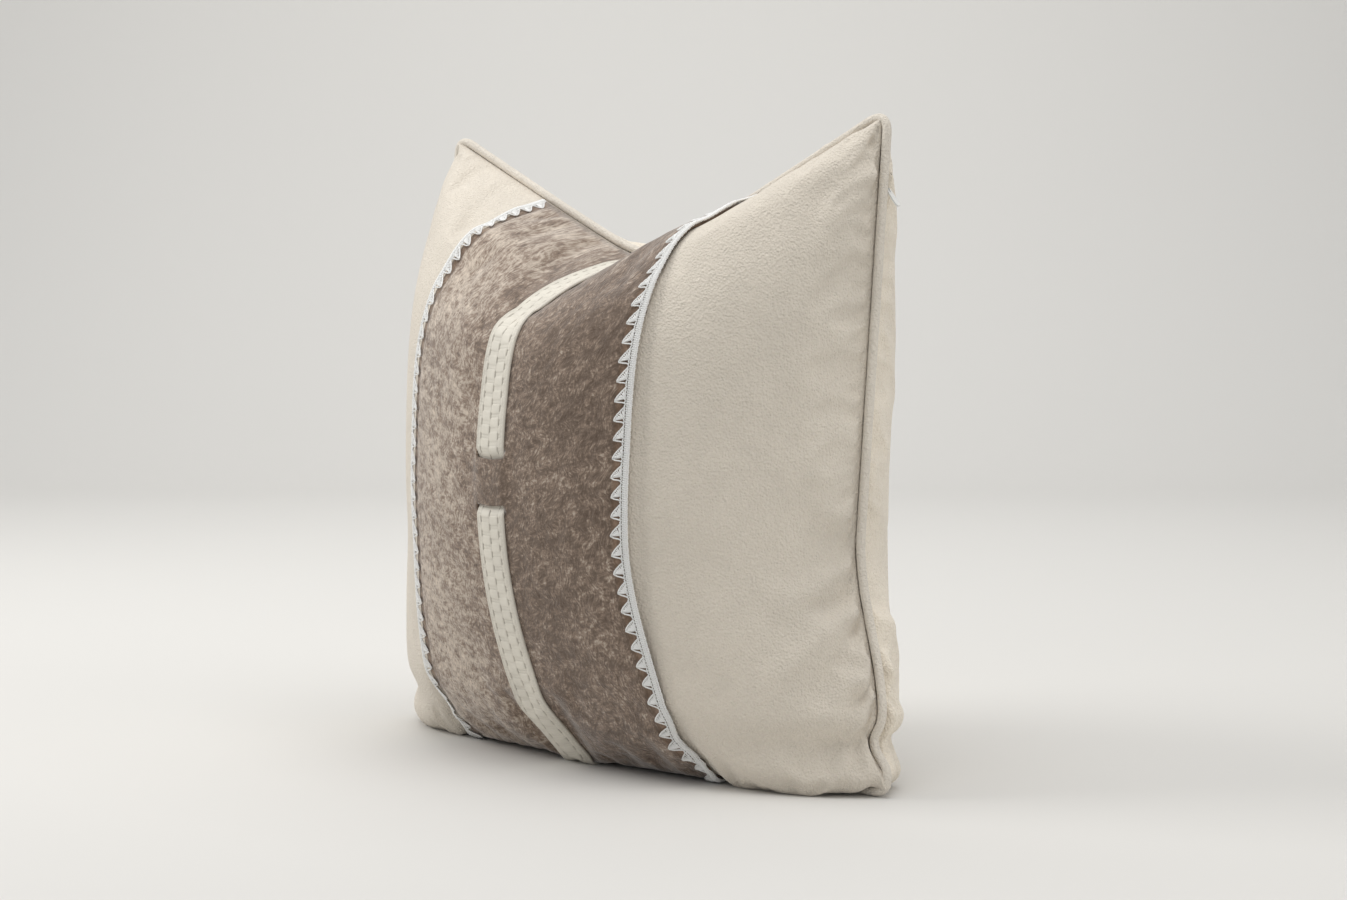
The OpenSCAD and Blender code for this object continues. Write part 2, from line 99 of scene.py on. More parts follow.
class PillowShape(bpy.types.PropertyGroup):
    """Outline and stuffing of the cover"""

    corner_h: size("Corner height", "Height of the top corners, at the seam", 502)
    waist_w: size("Waist width", "Width between the side seams above the foot", 462)
    foot_spread: size("Foot spread", "Extra width of each side near the floor", 32)
    foot_bend_h: size("Foot bend height", "Height where the sides start to spread", 190)
    foot_bend_run: size("Foot bend run", "Height over which the sides spread", 140)
    ear_spread: size("Ear spread", "Extra reach of each bottom corner", 12)
    ear_h: size("Ear height", "Height of the bottom corners' ears", 35)
    ear_pinch: size("Ear pinch", "Depth of the pinch over each bottom corner's ear", 7)
    side_slope: part("Side slope", "Outward run of each side for its height", 0.035)
    lean: part("Lean", "Backward run of the seam plane for its height", 0.05)
    chop_drop: size("Press depth", "Depth of the press in the top edge", 103)
    chop_round: part("Press rounding", "Rounding of the press", 0.1, 0.02)
    front_crown: size("Front crown", "Reach of the front panel from the seam plane", 152)
    back_crown: size("Back crown", "Reach of the back panel from the seam plane", 120)
    front_base: part("Front base", "Share of the front crown that lies on the floor", 0.34)
    back_base: part("Back base", "Share of the back crown that lies on the floor", 0.45)
    valley_depth: size("Valley depth", "Depth of the valley below the press", 5)
    valley_w: size("Valley width", "Half width of that valley", 42)
    back_puff: size("Back puff", "Height of the puff behind the press", 40)
    puff_w: size("Puff width", "Half width of that puff", 70)
    skin_t: size("Fabric", "Thickness of the cover fabric", 1.2)
    front_colour: colour("Front", "Colour of the front suede", (0.76, 0.695, 0.60))
    # The back is the same cream suede as the front, made lighter as painted light, for the light from
    # the right that falls on it.
    back_painted_light_colour: colour("Back", "Colour of the back suede", (0.93, 0.85, 0.725))
    cells_across: IntProperty(
        name="Cells across", description="Cells of a panel's grid across", default=150, min=20
    )
    cells_up: IntProperty(
        name="Cells up", description="Cells of a panel's grid up", default=140, min=20
    )


class PillowCloth(bpy.types.PropertyGroup):
    """How the cover's fabric is run as cloth"""

    frames: IntProperty(
        name="Frames", description="Frames that the cloth is run for", default=22, min=2
    )
    pressure: part("Pressure", "Push of the stuffing on the fabric", 4.0, 0.0, 50.0)
    spare: part("Spare fabric", "Extra length of the fabric near its seams", 0.07, 0.0, 0.2)
    spare_reach: size("Spare reach", "How far the spare fabric reaches in from a seam", 70)
    stiffness: part("Stiffness", "Stiffness of the fabric along its threads", 20.0, 0.0, 200.0)
    bending: part("Bending", "Stiffness of the fabric in bending", 6.0, 0.0, 100.0)
    most: size("Most", "Farthest that a point of the fabric may move out", 8)
    fold_share: part("Folds", "Height of the folds, as a share of their own", 1.0, 0.0, 2.0)


class PillowBand(bpy.types.PropertyGroup):
    """Felt band down the middle of the front"""

    width: size("Width", "Width of the felt band, along the fabric", 250)
    felt_t: size("Felt", "Thickness of the felt", 3)
    tunnel_share: part("Tunnel height", "Middle of the tunnel, as a share of the corner height", 0.45)
    tunnel_h: size("Tunnel length", "Distance from slit to slit", 42)
    slit_h: size("Slit height", "Height of each slit", 7)
    hem: size("Hem", "Distance of the stitched groove from the felt's edge", 9.5)
    lump: size("Lumps", "Height of the lumps in the felt", 0.35)
    dark: colour("Dark wool", "Darkest wool in the felt", (0.11, 0.075, 0.055))
    middle: colour("Middle wool", "Commonest wool in the felt", (0.265, 0.195, 0.148))
    light: colour("Light wool", "Lightest wool in the felt", (0.66, 0.555, 0.455))


class PillowTrim(bpy.types.PropertyGroup):
    """Crochet trims along the felt band's edges"""

    tooth_w: size("Tooth width", "Reach of a scallop over the felt", 7.5)
    braid_w: size("Braid width", "Width of the braid outside the felt", 4.5)
    height: size("Height", "Thickness of the trim", 1.8)
    pitch: size("Pitch", "Distance from one scallop to the next", 14)
    thread_r: size("Thread", "Radius of the cotton thread", 0.48)
    cotton: colour("Cotton", "Colour of the cotton", (0.97, 0.97, 0.955))


class PillowStrap(bpy.types.PropertyGroup):
    """Woven leather strap"""

    width: size("Width", "Width of the strap", 30)
    thickness: size("Thickness", "Thickness of the strap", 2.5)
    pitch: size("Pitch", "Distance from one bar of the weave to the next", 10.4)
    leather: colour("Leather", "Colour of the leather", (0.73, 0.69, 0.605))
    # Colour of the painted shade inside the weave's slits and grooves.
    slits: colour("Slits", "Colour inside the weave's slits", (0.20, 0.17, 0.14))


class PillowPiping(bpy.types.PropertyGroup):
    """Piping in the seam"""

    radius: size("Radius", "Outer radius of the piping", 3.5)
    cord_r: size("Cord", "Radius of the cord in the piping", 2.5)
    corner_r: size("Corner", "Distance from a corner at which the piping starts to turn", 19)
    suede: colour("Suede", "Colour of the piping", (0.80, 0.74, 0.65))
    cord: colour("Cord", "Colour of the cord in the piping", (0.80, 0.79, 0.75))


class PillowZip(bpy.types.PropertyGroup):
    """Zip in the right side seam"""

    low: size("Lower end", "Height of the zip's lower end", 190)
    below_corner: size("Below the corner", "Distance of the zip's top below the corners", 50)
    wire_r: size("Wire", "Radius of the coils' wire", 0.28)
    coil_pitch: size("Coil pitch", "Distance from one turn of a coil to the next", 1.3)
    enamel: colour("Enamel", "Colour of the slider and the pull", (0.80, 0.80, 0.78))
    nylon: colour("Nylon", "Colour of the coils", (0.80, 0.79, 0.75))
    tape: colour("Tape", "Colour of the tapes", (0.74, 0.70, 0.62))


class PillowInsert(bpy.types.PropertyGroup):
    """Insert inside the cover"""

    margin: size("Margin", "Distance of the insert's seam from the cover's", 18)
    gap: size("Gap", "Gap between the insert and the cover", 4.4)
    casing_t: size("Casing", "Thickness of the insert's casing", 0.8)
    lining: colour("Lining", "Colour of the insert's casing", (0.84, 0.84, 0.81))
    fibre: colour("Fibre", "Colour of the filling", (0.88, 0.88, 0.87))


class PillowStage(bpy.types.PropertyGroup):
    """Floor, backdrop, lights and camera"""

    distance_x: size("Camera X", "Place of the camera across", 1482)
    distance_y: size("Camera Y", "Place of the camera in front of the seam plane", 1437)
    height: size("Camera height", "Height of the camera", 375)
    lens: FloatProperty(name="Lens", description="Focal length", default=69.5, min=10)
    floor: colour("Floor", "Colour of the floor and backdrop", (0.70, 0.688, 0.665))
    key: FloatProperty(name="Key light", description="Power of the key light", default=33, min=0)
    fill: FloatProperty(name="Fill light", description="Power of the fill", default=12, min=0)
    top: FloatProperty(name="Top light", description="Power of the top light", default=32, min=0)
    wall: FloatProperty(name="Wall light", description="Power of the wall light", default=43, min=0)
    sky: part("Sky", "Strength of the light all round", 0.42, 0.0, 5.0)


GROUPS = {
    "shape": PillowShape,
    "cloth": PillowCloth,
    "band": PillowBand,
    "trim": PillowTrim,
    "strap": PillowStrap,
    "piping": PillowPiping,
    "zip": PillowZip,
    "insert": PillowInsert,
    "stage": PillowStage,
}


def setting(group):
    """The settings of one group, as the scene holds them."""
    return getattr(bpy.context.scene, "pillow_" + group)


# ---------------------------------------------------------------- sums


def ease(x):
    """Smooth step from 0 to 1."""
    t = np.clip(x, 0.0, 1.0)
    return t * t * (3 - 2 * t)


def blend(a, b, t):
    """The value a share t of the way from a to b."""
    return a + (b - a) * t


def bell(x, width):
    """A bump of height 1 that falls away over a width."""
    return np.exp(-((x / width) ** 2))


def unit(vectors):
    """The same vectors, each 1 long."""
    return vectors / np.maximum(np.linalg.norm(vectors, axis=-1, keepdims=True), 1e-12)


NOISE_SIZE = 64


def lattice_noise(u, v, cell, seed):
    """Smooth noise from -1 to 1 over a surface, with lumps about one cell across."""
    values = np.random.default_rng(seed).uniform(-1, 1, (NOISE_SIZE, NOISE_SIZE))
    a = u / cell
    b = v / cell
    i = np.floor(a).astype(int)
    j = np.floor(b).astype(int)
    s = ease(a - i)
    t = ease(b - j)

    def at(di, dj):
        return values[(i + di) % NOISE_SIZE, (j + dj) % NOISE_SIZE]

    low = blend(at(0, 0), at(1, 0), s)
    high = blend(at(0, 1), at(1, 1), s)
    return blend(low, high, t)


def lengths_along(points):
    """Distance from the first point to each point of a line."""
    steps = np.linalg.norm(np.diff(points, axis=0), axis=1)
    return np.concatenate([[0.0], np.cumsum(steps)])


# ---------------------------------------------------------------- the pillow's form

FLOOR_SHARE = 0.12
CROWN_SHARE = {FRONT: 0.52, BACK: 0.42}
LOWER_ROUND = {FRONT: 0.75, BACK: 0.5}
UPPER_POWER = {FRONT: 3.75, BACK: 2.2}
UPPER_ROUND = {FRONT: 0.7, BACK: 0.5}
CROWN_POWER = {FRONT: 1.0, BACK: 0.85}
MIDDLE_W = 0.22
MIDDLE_CROWN = 0.1
MIDDLE_POWER = 2.0
MIDDLE_ROUND = 0.4
TUCK_W = 8 * MM
LIFT_RUN = 0.05
LEVEL_SPREAD = 0.6
PINCH_AT = 1.15
PINCH_RUN = 0.32
ROLL_SHARE = 0.6
ROLL_AT = 0.42
ROLL_RUN = 0.34
VALLEY_FROM = 0.62
VALLEY_RISE = 0.25
VALLEY_FADE = 0.12
PUFF_FROM = 0.65
PUFF_RISE = 0.27
PUFF_FADE = 0.07
BAND_PULL = 0.965
LINE_SAMPLES = 1500


class Form:
    """Where each point of the cover lies, from the shape's settings.

    p runs from -1 at the left seam to 1 at the right one, and v from 0 at the bottom seam to 1
    at the top one. A side is FRONT or BACK.
    """

    def __init__(self):
        self.s = setting("shape")
        band = setting("band")
        strap = setting("strap")
        trim = setting("trim")
        piping = setting("piping")
        self.waist_half = self.s.waist_w / 2
        self.seam_in = piping.radius + 3 * SEAM_GAP
        self.seam_side = self.s.skin_t + piping.radius - SEAM_GAP
        self.tuck_h = 2 * piping.radius + 2 * SEAM_GAP
        self.stack_t = band.felt_t + max(strap.thickness, trim.height) + 2 * LAYER_GAP
        cord_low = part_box("piping_cord")[0]
        self.seam_y = cord_low.y + piping.cord_r - self.s.lean * piping.radius
        self.band_half = self.across(band.width / 2 * BAND_PULL)
        self.strap_half = self.across(strap.width / 2)
        self.lift_half = self.across(band.width / 2 * BAND_PULL + trim.braid_w)

    def across(self, x):
        """The p at a distance from the middle, at the waist."""
        return np.arcsin(np.clip(x / self.waist_half, -1, 1)) / (math.pi / 2)

    def side_x(self, z):
        """Half the width at a height."""
        s = self.s
        return (
            self.waist_half
            + s.side_slope * (z - s.foot_bend_h)
            + s.foot_spread * ease((s.foot_bend_h - z) / s.foot_bend_run)
            + s.ear_spread * ease((s.ear_h - z) / s.ear_h)
            - s.ear_pinch * bell(z - PINCH_AT * s.ear_h, PINCH_RUN * s.ear_h)
            + ROLL_SHARE * s.ear_pinch * bell(z - ROLL_AT * s.ear_h, ROLL_RUN * s.ear_h)
        )

    def top_z(self, share):
        """Height of the top seam at a share of the half width."""
        r = self.s.chop_round
        chop = (np.sqrt(share * share + r * r) - r) / (math.sqrt(1 + r * r) - r)
        return self.s.corner_h - self.s.chop_drop * (1 - chop)

    def reach(self, p, v, side):
        """Reach of a panel, from 0 at its seams to 1 at its crown."""
        base = self.s.front_base if side == FRONT else self.s.back_base
        near = bell(p, MIDDLE_W) if side == FRONT else 0.0 * p
        crest = CROWN_SHARE[side] + MIDDLE_CROWN * near
        s = np.clip((v - FLOOR_SHARE) / (1 - FLOOR_SHARE), 0, 1)
        risen = np.maximum(0, 1 - (1 - s / crest) ** 2) ** LOWER_ROUND[side]
        below = base + (1 - base) * risen
        fallen = np.clip((s - crest) / (1 - crest), 0, 1)
        fallen = fallen ** (UPPER_POWER[side] + MIDDLE_POWER * near)
        above = np.maximum(0, 1 - fallen) ** (UPPER_ROUND[side] + MIDDLE_ROUND * near)
        return np.where(v < FLOOR_SHARE, base * v / FLOOR_SHARE, np.where(s < crest, below, above))

    def point(self, p, v, side, edge=None, crown_cut=0.0, floor_gap=0.0, seam_side=None):
        """Points of a panel, set in from its seam by an edge."""
        s = self.s
        edge = self.seam_in if edge is None else edge
        seam_side = self.seam_side if seam_side is None else seam_side
        share = np.sin(p * math.pi / 2)
        spread = np.maximum(0, np.cos(p * math.pi / 2)) ** CROWN_POWER[side]
        up = np.maximum(0, (v - FLOOR_SHARE) / (1 - FLOOR_SHARE))
        level = ease(spread / LEVEL_SPREAD)
        crown = s.front_crown if side == FRONT else s.back_crown
        out = (crown - crown_cut) * spread * self.reach(p, v, side)
        lift = 0.0
        if side == FRONT:
            lift = self.stack_t * (1 - ease((np.abs(p) - self.lift_half) / LIFT_RUN))
        extra = edge - self.seam_in
        tuck = (self.tuck_h + extra) * np.maximum(0, 1 - out / (TUCK_W + extra)) ** 2
        low = (lift + floor_gap) * np.minimum(1, spread * 3) + tuck
        high = self.top_z(share * (1 - edge / self.side_x(s.corner_h))) - edge
        z = low + (high - low) * blend(v, up, level)
        x = (self.side_x(z) - edge) * share
        if side == FRONT:
            hollow = ease((up - VALLEY_FROM) / VALLEY_RISE) * ease((1 - up) / VALLEY_FADE)
            out = out - s.valley_depth * bell(x, s.valley_w) * hollow
        else:
            puffed = ease((1 - up) / PUFF_FADE) * ease((up - PUFF_FROM) / PUFF_RISE)
            z = z + s.back_puff * bell(x, s.puff_w) * puffed
        y = self.seam_y + s.lean * z + side * (seam_side + np.maximum(out, 0))
        return np.stack(np.broadcast_arrays(x, y, z), axis=-1)


def grid_normals(points, side):
    """Outward directions at a grid of points, rows up and columns across."""
    across = np.gradient(points, axis=1)
    up = np.gradient(points, axis=0)
    return unit(-side * np.cross(across, up))


def cubic_weights(t):
    """Weights of four neighbours for a smooth curve through the middle two."""
    return (
        ((-t + 2) * t - 1) * t / 2,
        ((3 * t - 5) * t * t + 2) / 2,
        ((-3 * t + 4) * t + 1) * t / 2,
        (t - 1) * t * t / 2,
    )


class Surface:
    """A panel's grid of points, read smoothly at any place between them."""

    def __init__(self, points, side):
        self.points = points
        self.side = side
        self.normals = grid_normals(points, side)

    def read(self, grid, p, v):
        """Values of a grid at p and v."""
        rows, columns = grid.shape[:2]
        p, v = np.broadcast_arrays(np.asarray(p, float), np.asarray(v, float))
        a = (np.clip(p, -1, 1) + 1) / 2 * (columns - 1)
        b = np.clip(v, 0, 1) * (rows - 1)
        i = np.clip(np.floor(a).astype(int), 0, columns - 2)
        j = np.clip(np.floor(b).astype(int), 0, rows - 2)
        across = cubic_weights(a - i)
        up = cubic_weights(b - j)
        total = 0.0
        for m in range(4):
            row = np.clip(j + m - 1, 0, rows - 1)
            line = 0.0
            for k in range(4):
                column = np.clip(i + k - 1, 0, columns - 1)
                line = line + across[k][..., None] * grid[row, column]
            total = total + up[m][..., None] * line
        return total

    def at(self, p, v):
        """Points of the surface."""
        return self.read(self.points, p, v)

    def normal(self, p, v):
        """Outward directions of the surface."""
        return unit(self.read(self.normals, p, v))

    def lifted(self, p, v, height):
        """Points at a height over the surface."""
        height = np.asarray(height, float)[..., None]
        return self.at(p, v) + self.normal(p, v) * height

    def rows_by_length(self, p, step):
        """Values of v that lie evenly along the line at p, and the distance along it of each."""
        v = np.linspace(0, 1, LINE_SAMPLES)
        along = lengths_along(self.at(np.full_like(v, p), v))
        count = max(2, round(along[-1] / step))
        distance = np.linspace(0, along[-1], count + 1)
        return np.interp(distance, along, v), distance


# ---------------------------------------------------------------- meshes


def make_piece(name, points, faces, uv=None, values=None):
    """A mesh object from points and faces, with a map in metres and named values at its points."""
    mesh = bpy.data.meshes.new(name)
    mesh.from_pydata(np.asarray(points, float).tolist(), [], faces)
    corner_points = np.zeros(len(mesh.loops), int)
    mesh.loops.foreach_get("vertex_index", corner_points)
    if uv is not None:
        layer = mesh.uv_layers.new(name="cloth")
        layer.data.foreach_set("uv", np.asarray(uv, np.float32)[corner_points].ravel())
    for key, numbers in (values or {}).items():
        attribute = mesh.attributes.new(key, "FLOAT", "POINT")
        attribute.data.foreach_set("value", np.asarray(numbers, np.float32).ravel())
    mesh.polygons.foreach_set("use_smooth", np.full(len(mesh.polygons), True))
    mesh.validate()
    mesh.update()
    piece = bpy.data.objects.new(name, mesh)
    bpy.context.scene.collection.objects.link(piece)
    return piece


def sheet_faces(rows, columns, skip, kept, flip):
    """Faces of a closed sheet: a fine outer grid, an inner one with every skip-th column, and rims.

    kept says which cells between the inner grid's points exist.
    """
    inner_columns = (columns - 1) // skip + 1
    first = rows * columns
    faces = []

    def outer(j, i):
        return j * columns + i

    def inner(j, c):
        return first + j * inner_columns + c

    def has(j, c):
        return 0 <= j < rows - 1 and 0 <= c < inner_columns - 1 and kept[j, c]

    def add(face):
        faces.append(face[::-1] if flip else face)

    for j in range(rows - 1):
        for c in range(inner_columns - 1):
            if not kept[j, c]:
                continue
            left = c * skip
            right = left + skip
            for i in range(left, right):
                add((outer(j, i), outer(j, i + 1), outer(j + 1, i + 1), outer(j + 1, i)))
            add((inner(j, c), inner(j + 1, c), inner(j + 1, c + 1), inner(j, c + 1)))
            if not has(j, c - 1):
                add((outer(j, left), outer(j + 1, left), inner(j + 1, c), inner(j, c)))
            if not has(j, c + 1):
                add((outer(j + 1, right), outer(j, right), inner(j, c + 1), inner(j + 1, c + 1)))
            run = range(left, right + 1)
            if not has(j - 1, c):
                add((inner(j, c), inner(j, c + 1), *[outer(j, i) for i in reversed(run)]))
            if not has(j + 1, c):
                add((inner(j + 1, c + 1), inner(j + 1, c), *[outer(j + 1, i) for i in run]))
    return faces


def make_sheet(name, outer, inner, side, skip=1, kept=None, uv=None, values=None):
    """A closed sheet between an outer grid and a coarser inner one."""
    rows, columns = outer.shape[:2]
    inner_columns = (columns - 1) // skip + 1
    if kept is None:
        kept = np.ones((rows - 1, inner_columns - 1), bool)
    faces = sheet_faces(rows, columns, skip, kept, side == BACK)
    points = np.vstack([outer.reshape(-1, 3), inner.reshape(-1, 3)])

    def both(grid):
        wide = grid.reshape(rows * columns, -1)
        thin = grid[:, ::skip].reshape(rows * inner_columns, -1)
        return np.vstack([wide, thin])

    mapped = None if uv is None else both(uv)
    named = {key: both(grid[..., None]) for key, grid in (values or {}).items()}
    piece = make_piece(name, points, faces, mapped, named)
    drop_loose_points(piece)
    return piece


def drop_loose_points(piece):
    """Removes points that no face uses."""
    work = bmesh.new()
    work.from_mesh(piece.data)
    loose = [point for point in work.verts if not point.link_faces]
    bmesh.ops.delete(work, geom=loose, context="VERTS")
    work.to_mesh(piece.data)
    work.free()


class Tubes:
    """Threads, cords and piping: round tubes along lines, gathered into one mesh."""

    def __init__(self):
        self.points = []
        self.faces = []
        self.uv = []
        self.count = 0

    def add(self, line, up, radius, sides, closed=False, along=None):
        """One tube. up is a direction at each point that is not along the line."""
        line = np.asarray(line, float)
        n = len(line)
        if closed:
            forward = np.roll(line, -1, axis=0) - np.roll(line, 1, axis=0)
        else:
            forward = np.gradient(line, axis=0)
        forward = unit(forward)
        up = np.broadcast_to(up, line.shape)
        up = unit(up - forward * np.sum(up * forward, axis=1, keepdims=True))
        out = np.cross(forward, up)
        turn = np.arange(sides) * 2 * math.pi / sides
        radius = np.asarray(radius, float)
        if radius.ndim < 2:
            radius = radius.reshape(-1, 1)
        radius = np.broadcast_to(radius, (n, sides))
        ring = (
            up[:, None, :] * np.cos(turn)[None, :, None]
            + out[:, None, :] * np.sin(turn)[None, :, None]
        )
        points = line[:, None, :] + ring * radius[:, :, None]
        along = lengths_along(line) if along is None else along
        around = turn / (2 * math.pi)
        uv = np.stack(np.broadcast_arrays(around[None, :], along[:, None]), axis=-1)
        first = self.count
        for k in range(n if closed else n - 1):
            here = first + k * sides
            there = first + (k + 1) % n * sides
            for i in range(sides):
                j = (i + 1) % sides
                self.faces.append((here + i, here + j, there + j, there + i))
        if not closed:
            self.faces.append(tuple(first + i for i in reversed(range(sides))))
            self.faces.append(tuple(first + (n - 1) * sides + i for i in range(sides)))
        self.points.append(points.reshape(-1, 3))
        self.uv.append(uv.reshape(-1, 2))
        self.count += n * sides

    def piece(self, name):
        """The object that all the tubes make."""
        return make_piece(name, np.vstack(self.points), self.faces, np.vstack(self.uv))


# ---------------------------------------------------------------- the cover run as cloth

COVER = {}
HELD_EDGE = 0.999
CLOTH_QUALITY = 5
CLOTH_MASS = 0.3


def cover_grid(form, side):
    """The grid of points of one panel before its fabric is run as cloth."""
    s = form.s
    p = np.linspace(-1, 1, s.cells_across + 1)[None, :]
    v = np.linspace(0, 1, s.cells_up + 1)[:, None]
    return form.point(p, v, side)


def closed_cover(front, back):
    """Points and faces of both panels, joined round their seams."""
    rows, columns = front.shape[:2]
    first = rows * columns
    faces = []
    for j in range(rows - 1):
        for i in range(columns - 1):
            a = j * columns + i
            face = (a, a + 1, a + columns + 1, a + columns)
            faces.append(face)
            faces.append(tuple(first + k for k in reversed(face)))
    rim = list(range(columns))
    rim += [j * columns + columns - 1 for j in range(1, rows)]
    rim += [(rows - 1) * columns + i for i in reversed(range(columns - 1))]
    rim += [j * columns for j in reversed(range(1, rows - 1))]
    for here, there in zip(rim, rim[1:] + rim[:1]):
        faces.append((there, here, first + here, first + there))
    return np.vstack([front.reshape(-1, 3), back.reshape(-1, 3)]), faces


def settle_cover(front, back):
    """Runs the cover as inflated cloth, held at its seams and where it stands."""
    cloth = setting("cloth")
    rows, columns = front.shape[:2]
    points, faces = closed_cover(front, back)
    piece = make_piece("cover_cloth", points, faces)
    v = np.broadcast_to(np.linspace(0, 1, rows)[:, None], (rows, columns)).ravel()
    p = np.broadcast_to(np.linspace(-1, 1, columns)[None, :], (rows, columns)).ravel()
    edge = (np.abs(p) > HELD_EDGE) | (v > HELD_EDGE) | (v < FLOOR_SHARE)
    held = piece.vertex_groups.new(name="held")
    both = np.concatenate([edge, edge])
    held.add(np.flatnonzero(both).tolist(), 1.0, "REPLACE")
    plain = piece.vertex_groups.new(name="plain")
    side_run = cloth.spare_reach / setting("shape").front_crown / 2
    near_side = ease((1 - np.abs(p)) / side_run)
    near_foot = ease((v - FLOOR_SHARE) / (side_run * 0.8))
    near_top = ease((1 - v) / (side_run * 0.6))
    weight = near_side * blend(near_foot, 1, 0.3) * blend(near_top, 1, 0.5)
    for index, share in enumerate(np.concatenate([weight, weight])):
        plain.add([index], float(share), "REPLACE")
    modifier = piece.modifiers.new("cloth", "CLOTH")
    values = modifier.settings
    values.quality = CLOTH_QUALITY
    values.mass = CLOTH_MASS
    values.tension_stiffness = cloth.stiffness
    values.compression_stiffness = cloth.stiffness
    values.shear_stiffness = cloth.stiffness / 2
    values.bending_stiffness = cloth.bending
    values.use_pressure = True
    values.uniform_pressure_force = cloth.pressure
    values.vertex_group_mass = "held"
    values.vertex_group_shrink = "plain"
    values.shrink_min = -cloth.spare
    values.shrink_max = 0.0
    values.effector_weights.gravity = 0.0
    modifier.collision_settings.use_collision = False
    scene = bpy.context.scene
    modifier.point_cache.frame_start = 1
    modifier.point_cache.frame_end = cloth.frames
    for number in range(1, cloth.frames + 1):
        scene.frame_set(number)
    shape = piece.evaluated_get(bpy.context.evaluated_depsgraph_get())
    moved = np.zeros(len(points) * 3)
    shape.data.vertices.foreach_get("co", moved)
    moved = moved.reshape(-1, 3)
    scene.frame_set(1)
    bpy.data.objects.remove(piece)
    half = rows * columns
    return moved[:half].reshape(front.shape), moved[half:].reshape(front.shape)


# Folds, listed one by one: side, the p and v of the end at the seam, the p and v of the end in the
# panel, half width at the seam and height, both in millimetres before the scales below. A fold
# with a height above 0 stands out, and a crease, below 0, goes in.
FOLDS = (
    (FRONT, 0.99, 0.265, 0.60, 0.300, 7, 3.0),
    (FRONT, 0.99, 0.235, 0.68, 0.245, 5, -2.4),
    (FRONT, 0.99, 0.330, 0.66, 0.385, 7, 2.6),
    (FRONT, 0.99, 0.300, 0.74, 0.335, 5, -2.2),
    (FRONT, 0.99, 0.205, 0.74, 0.180, 7, 3.4),
    (FRONT, 0.99, 0.170, 0.78, 0.130, 5, -3.0),
    (FRONT, 0.99, 0.150, 0.66, 0.060, 8, 4.2),
    (FRONT, 0.98, 0.120, 0.80, 0.070, 6, -4.0),
    (FRONT, 0.97, 0.060, 0.70, 0.030, 7, 3.5),
    (FRONT, 0.99, 0.420, 0.80, 0.470, 8, 1.8),
    (FRONT, 0.99, 0.520, 0.72, 0.500, 12, 1.6),
    (FRONT, 0.99, 0.620, 0.70, 0.585, 10, -1.5),
    (FRONT, 0.99, 0.930, 0.78, 0.820, 8, 2.6),
    (FRONT, 0.97, 0.970, 0.72, 0.900, 7, -2.4),
    (FRONT, 0.90, 0.990, 0.70, 0.930, 7, 2.2),
    (FRONT, -0.99, 0.200, -0.70, 0.190, 8, 3.2),
    (FRONT, -0.99, 0.150, -0.68, 0.080, 8, 3.8),
    (FRONT, -0.99, 0.300, -0.74, 0.330, 8, 2.2),
    (FRONT, -0.99, 0.920, -0.80, 0.800, 8, 2.2),
    (BACK, 0.99, 0.260, 0.64, 0.280, 8, 3.0),
    (BACK, 0.99, 0.180, 0.66, 0.120, 8, 4.0),
    (BACK, 0.98, 0.110, 0.74, 0.050, 8, 4.2),
    (BACK, 0.99, 0.450, 0.70, 0.430, 11, 1.8),
    (BACK, 0.98, 0.930, 0.76, 0.830, 9, 2.4),
    (BACK, -0.99, 0.260, -0.62, 0.300, 8, 3.0),
    (BACK, -0.99, 0.180, -0.68, 0.110, 8, 4.0),
    (BACK, -0.98, 0.930, -0.78, 0.820, 9, 2.4),
    (BACK, -0.45, 0.990, -0.35, 0.800, 12, 2.4),
    (BACK, 0.40, 0.990, 0.30, 0.820, 12, 2.2),
    (BACK, 0.05, 0.990, 0.02, 0.860, 12, -2.6),
)


FOLD_POINTS = 9
FOLD_SWAY = 0.02
FOLD_NARROW = 0.85
FOLD_WIDEN = 1.1
FOLD_FADE = 0.8
FOLD_SCALE = 2.3
FAR_OFF = 9.0


def fold_heights(points, side):
    """How far the folds move each point of a panel's grid."""
    surface = Surface(points, side)
    total = np.zeros(points.shape[:2])
    for number, (where, p0, v0, p1, v1, half_width, height) in enumerate(FOLDS):
        if where != side:
            continue
        t = np.linspace(0, 1, FOLD_POINTS)
        sway = FOLD_SWAY * np.sin(t * 5 + number)
        line = surface.at(blend(p0, p1, t) + 0.3 * sway, blend(v0, v1, t) + 0.5 * sway)
        nearest = np.full(points.shape[:2], FAR_OFF)
        along = np.zeros(points.shape[:2])
        for k in range(len(t) - 1):
            a, b = line[k], line[k + 1]
            run = b - a
            share = np.clip((points - a) @ run / (run @ run), 0, 1)
            gap = np.linalg.norm(points - a - share[..., None] * run, axis=-1)
            along = np.where(gap < nearest, (k + share) / (len(t) - 1), along)
            nearest = np.minimum(nearest, gap)
        width = FOLD_NARROW * half_width * MM * (1 + FOLD_WIDEN * along)
        fade = (1 - along) ** FOLD_FADE
        total = total + FOLD_SCALE * height * MM * fade * bell(nearest, width)
    return total


INWARD_SHARE = 0.35
ALONG_SHARE = 0.5


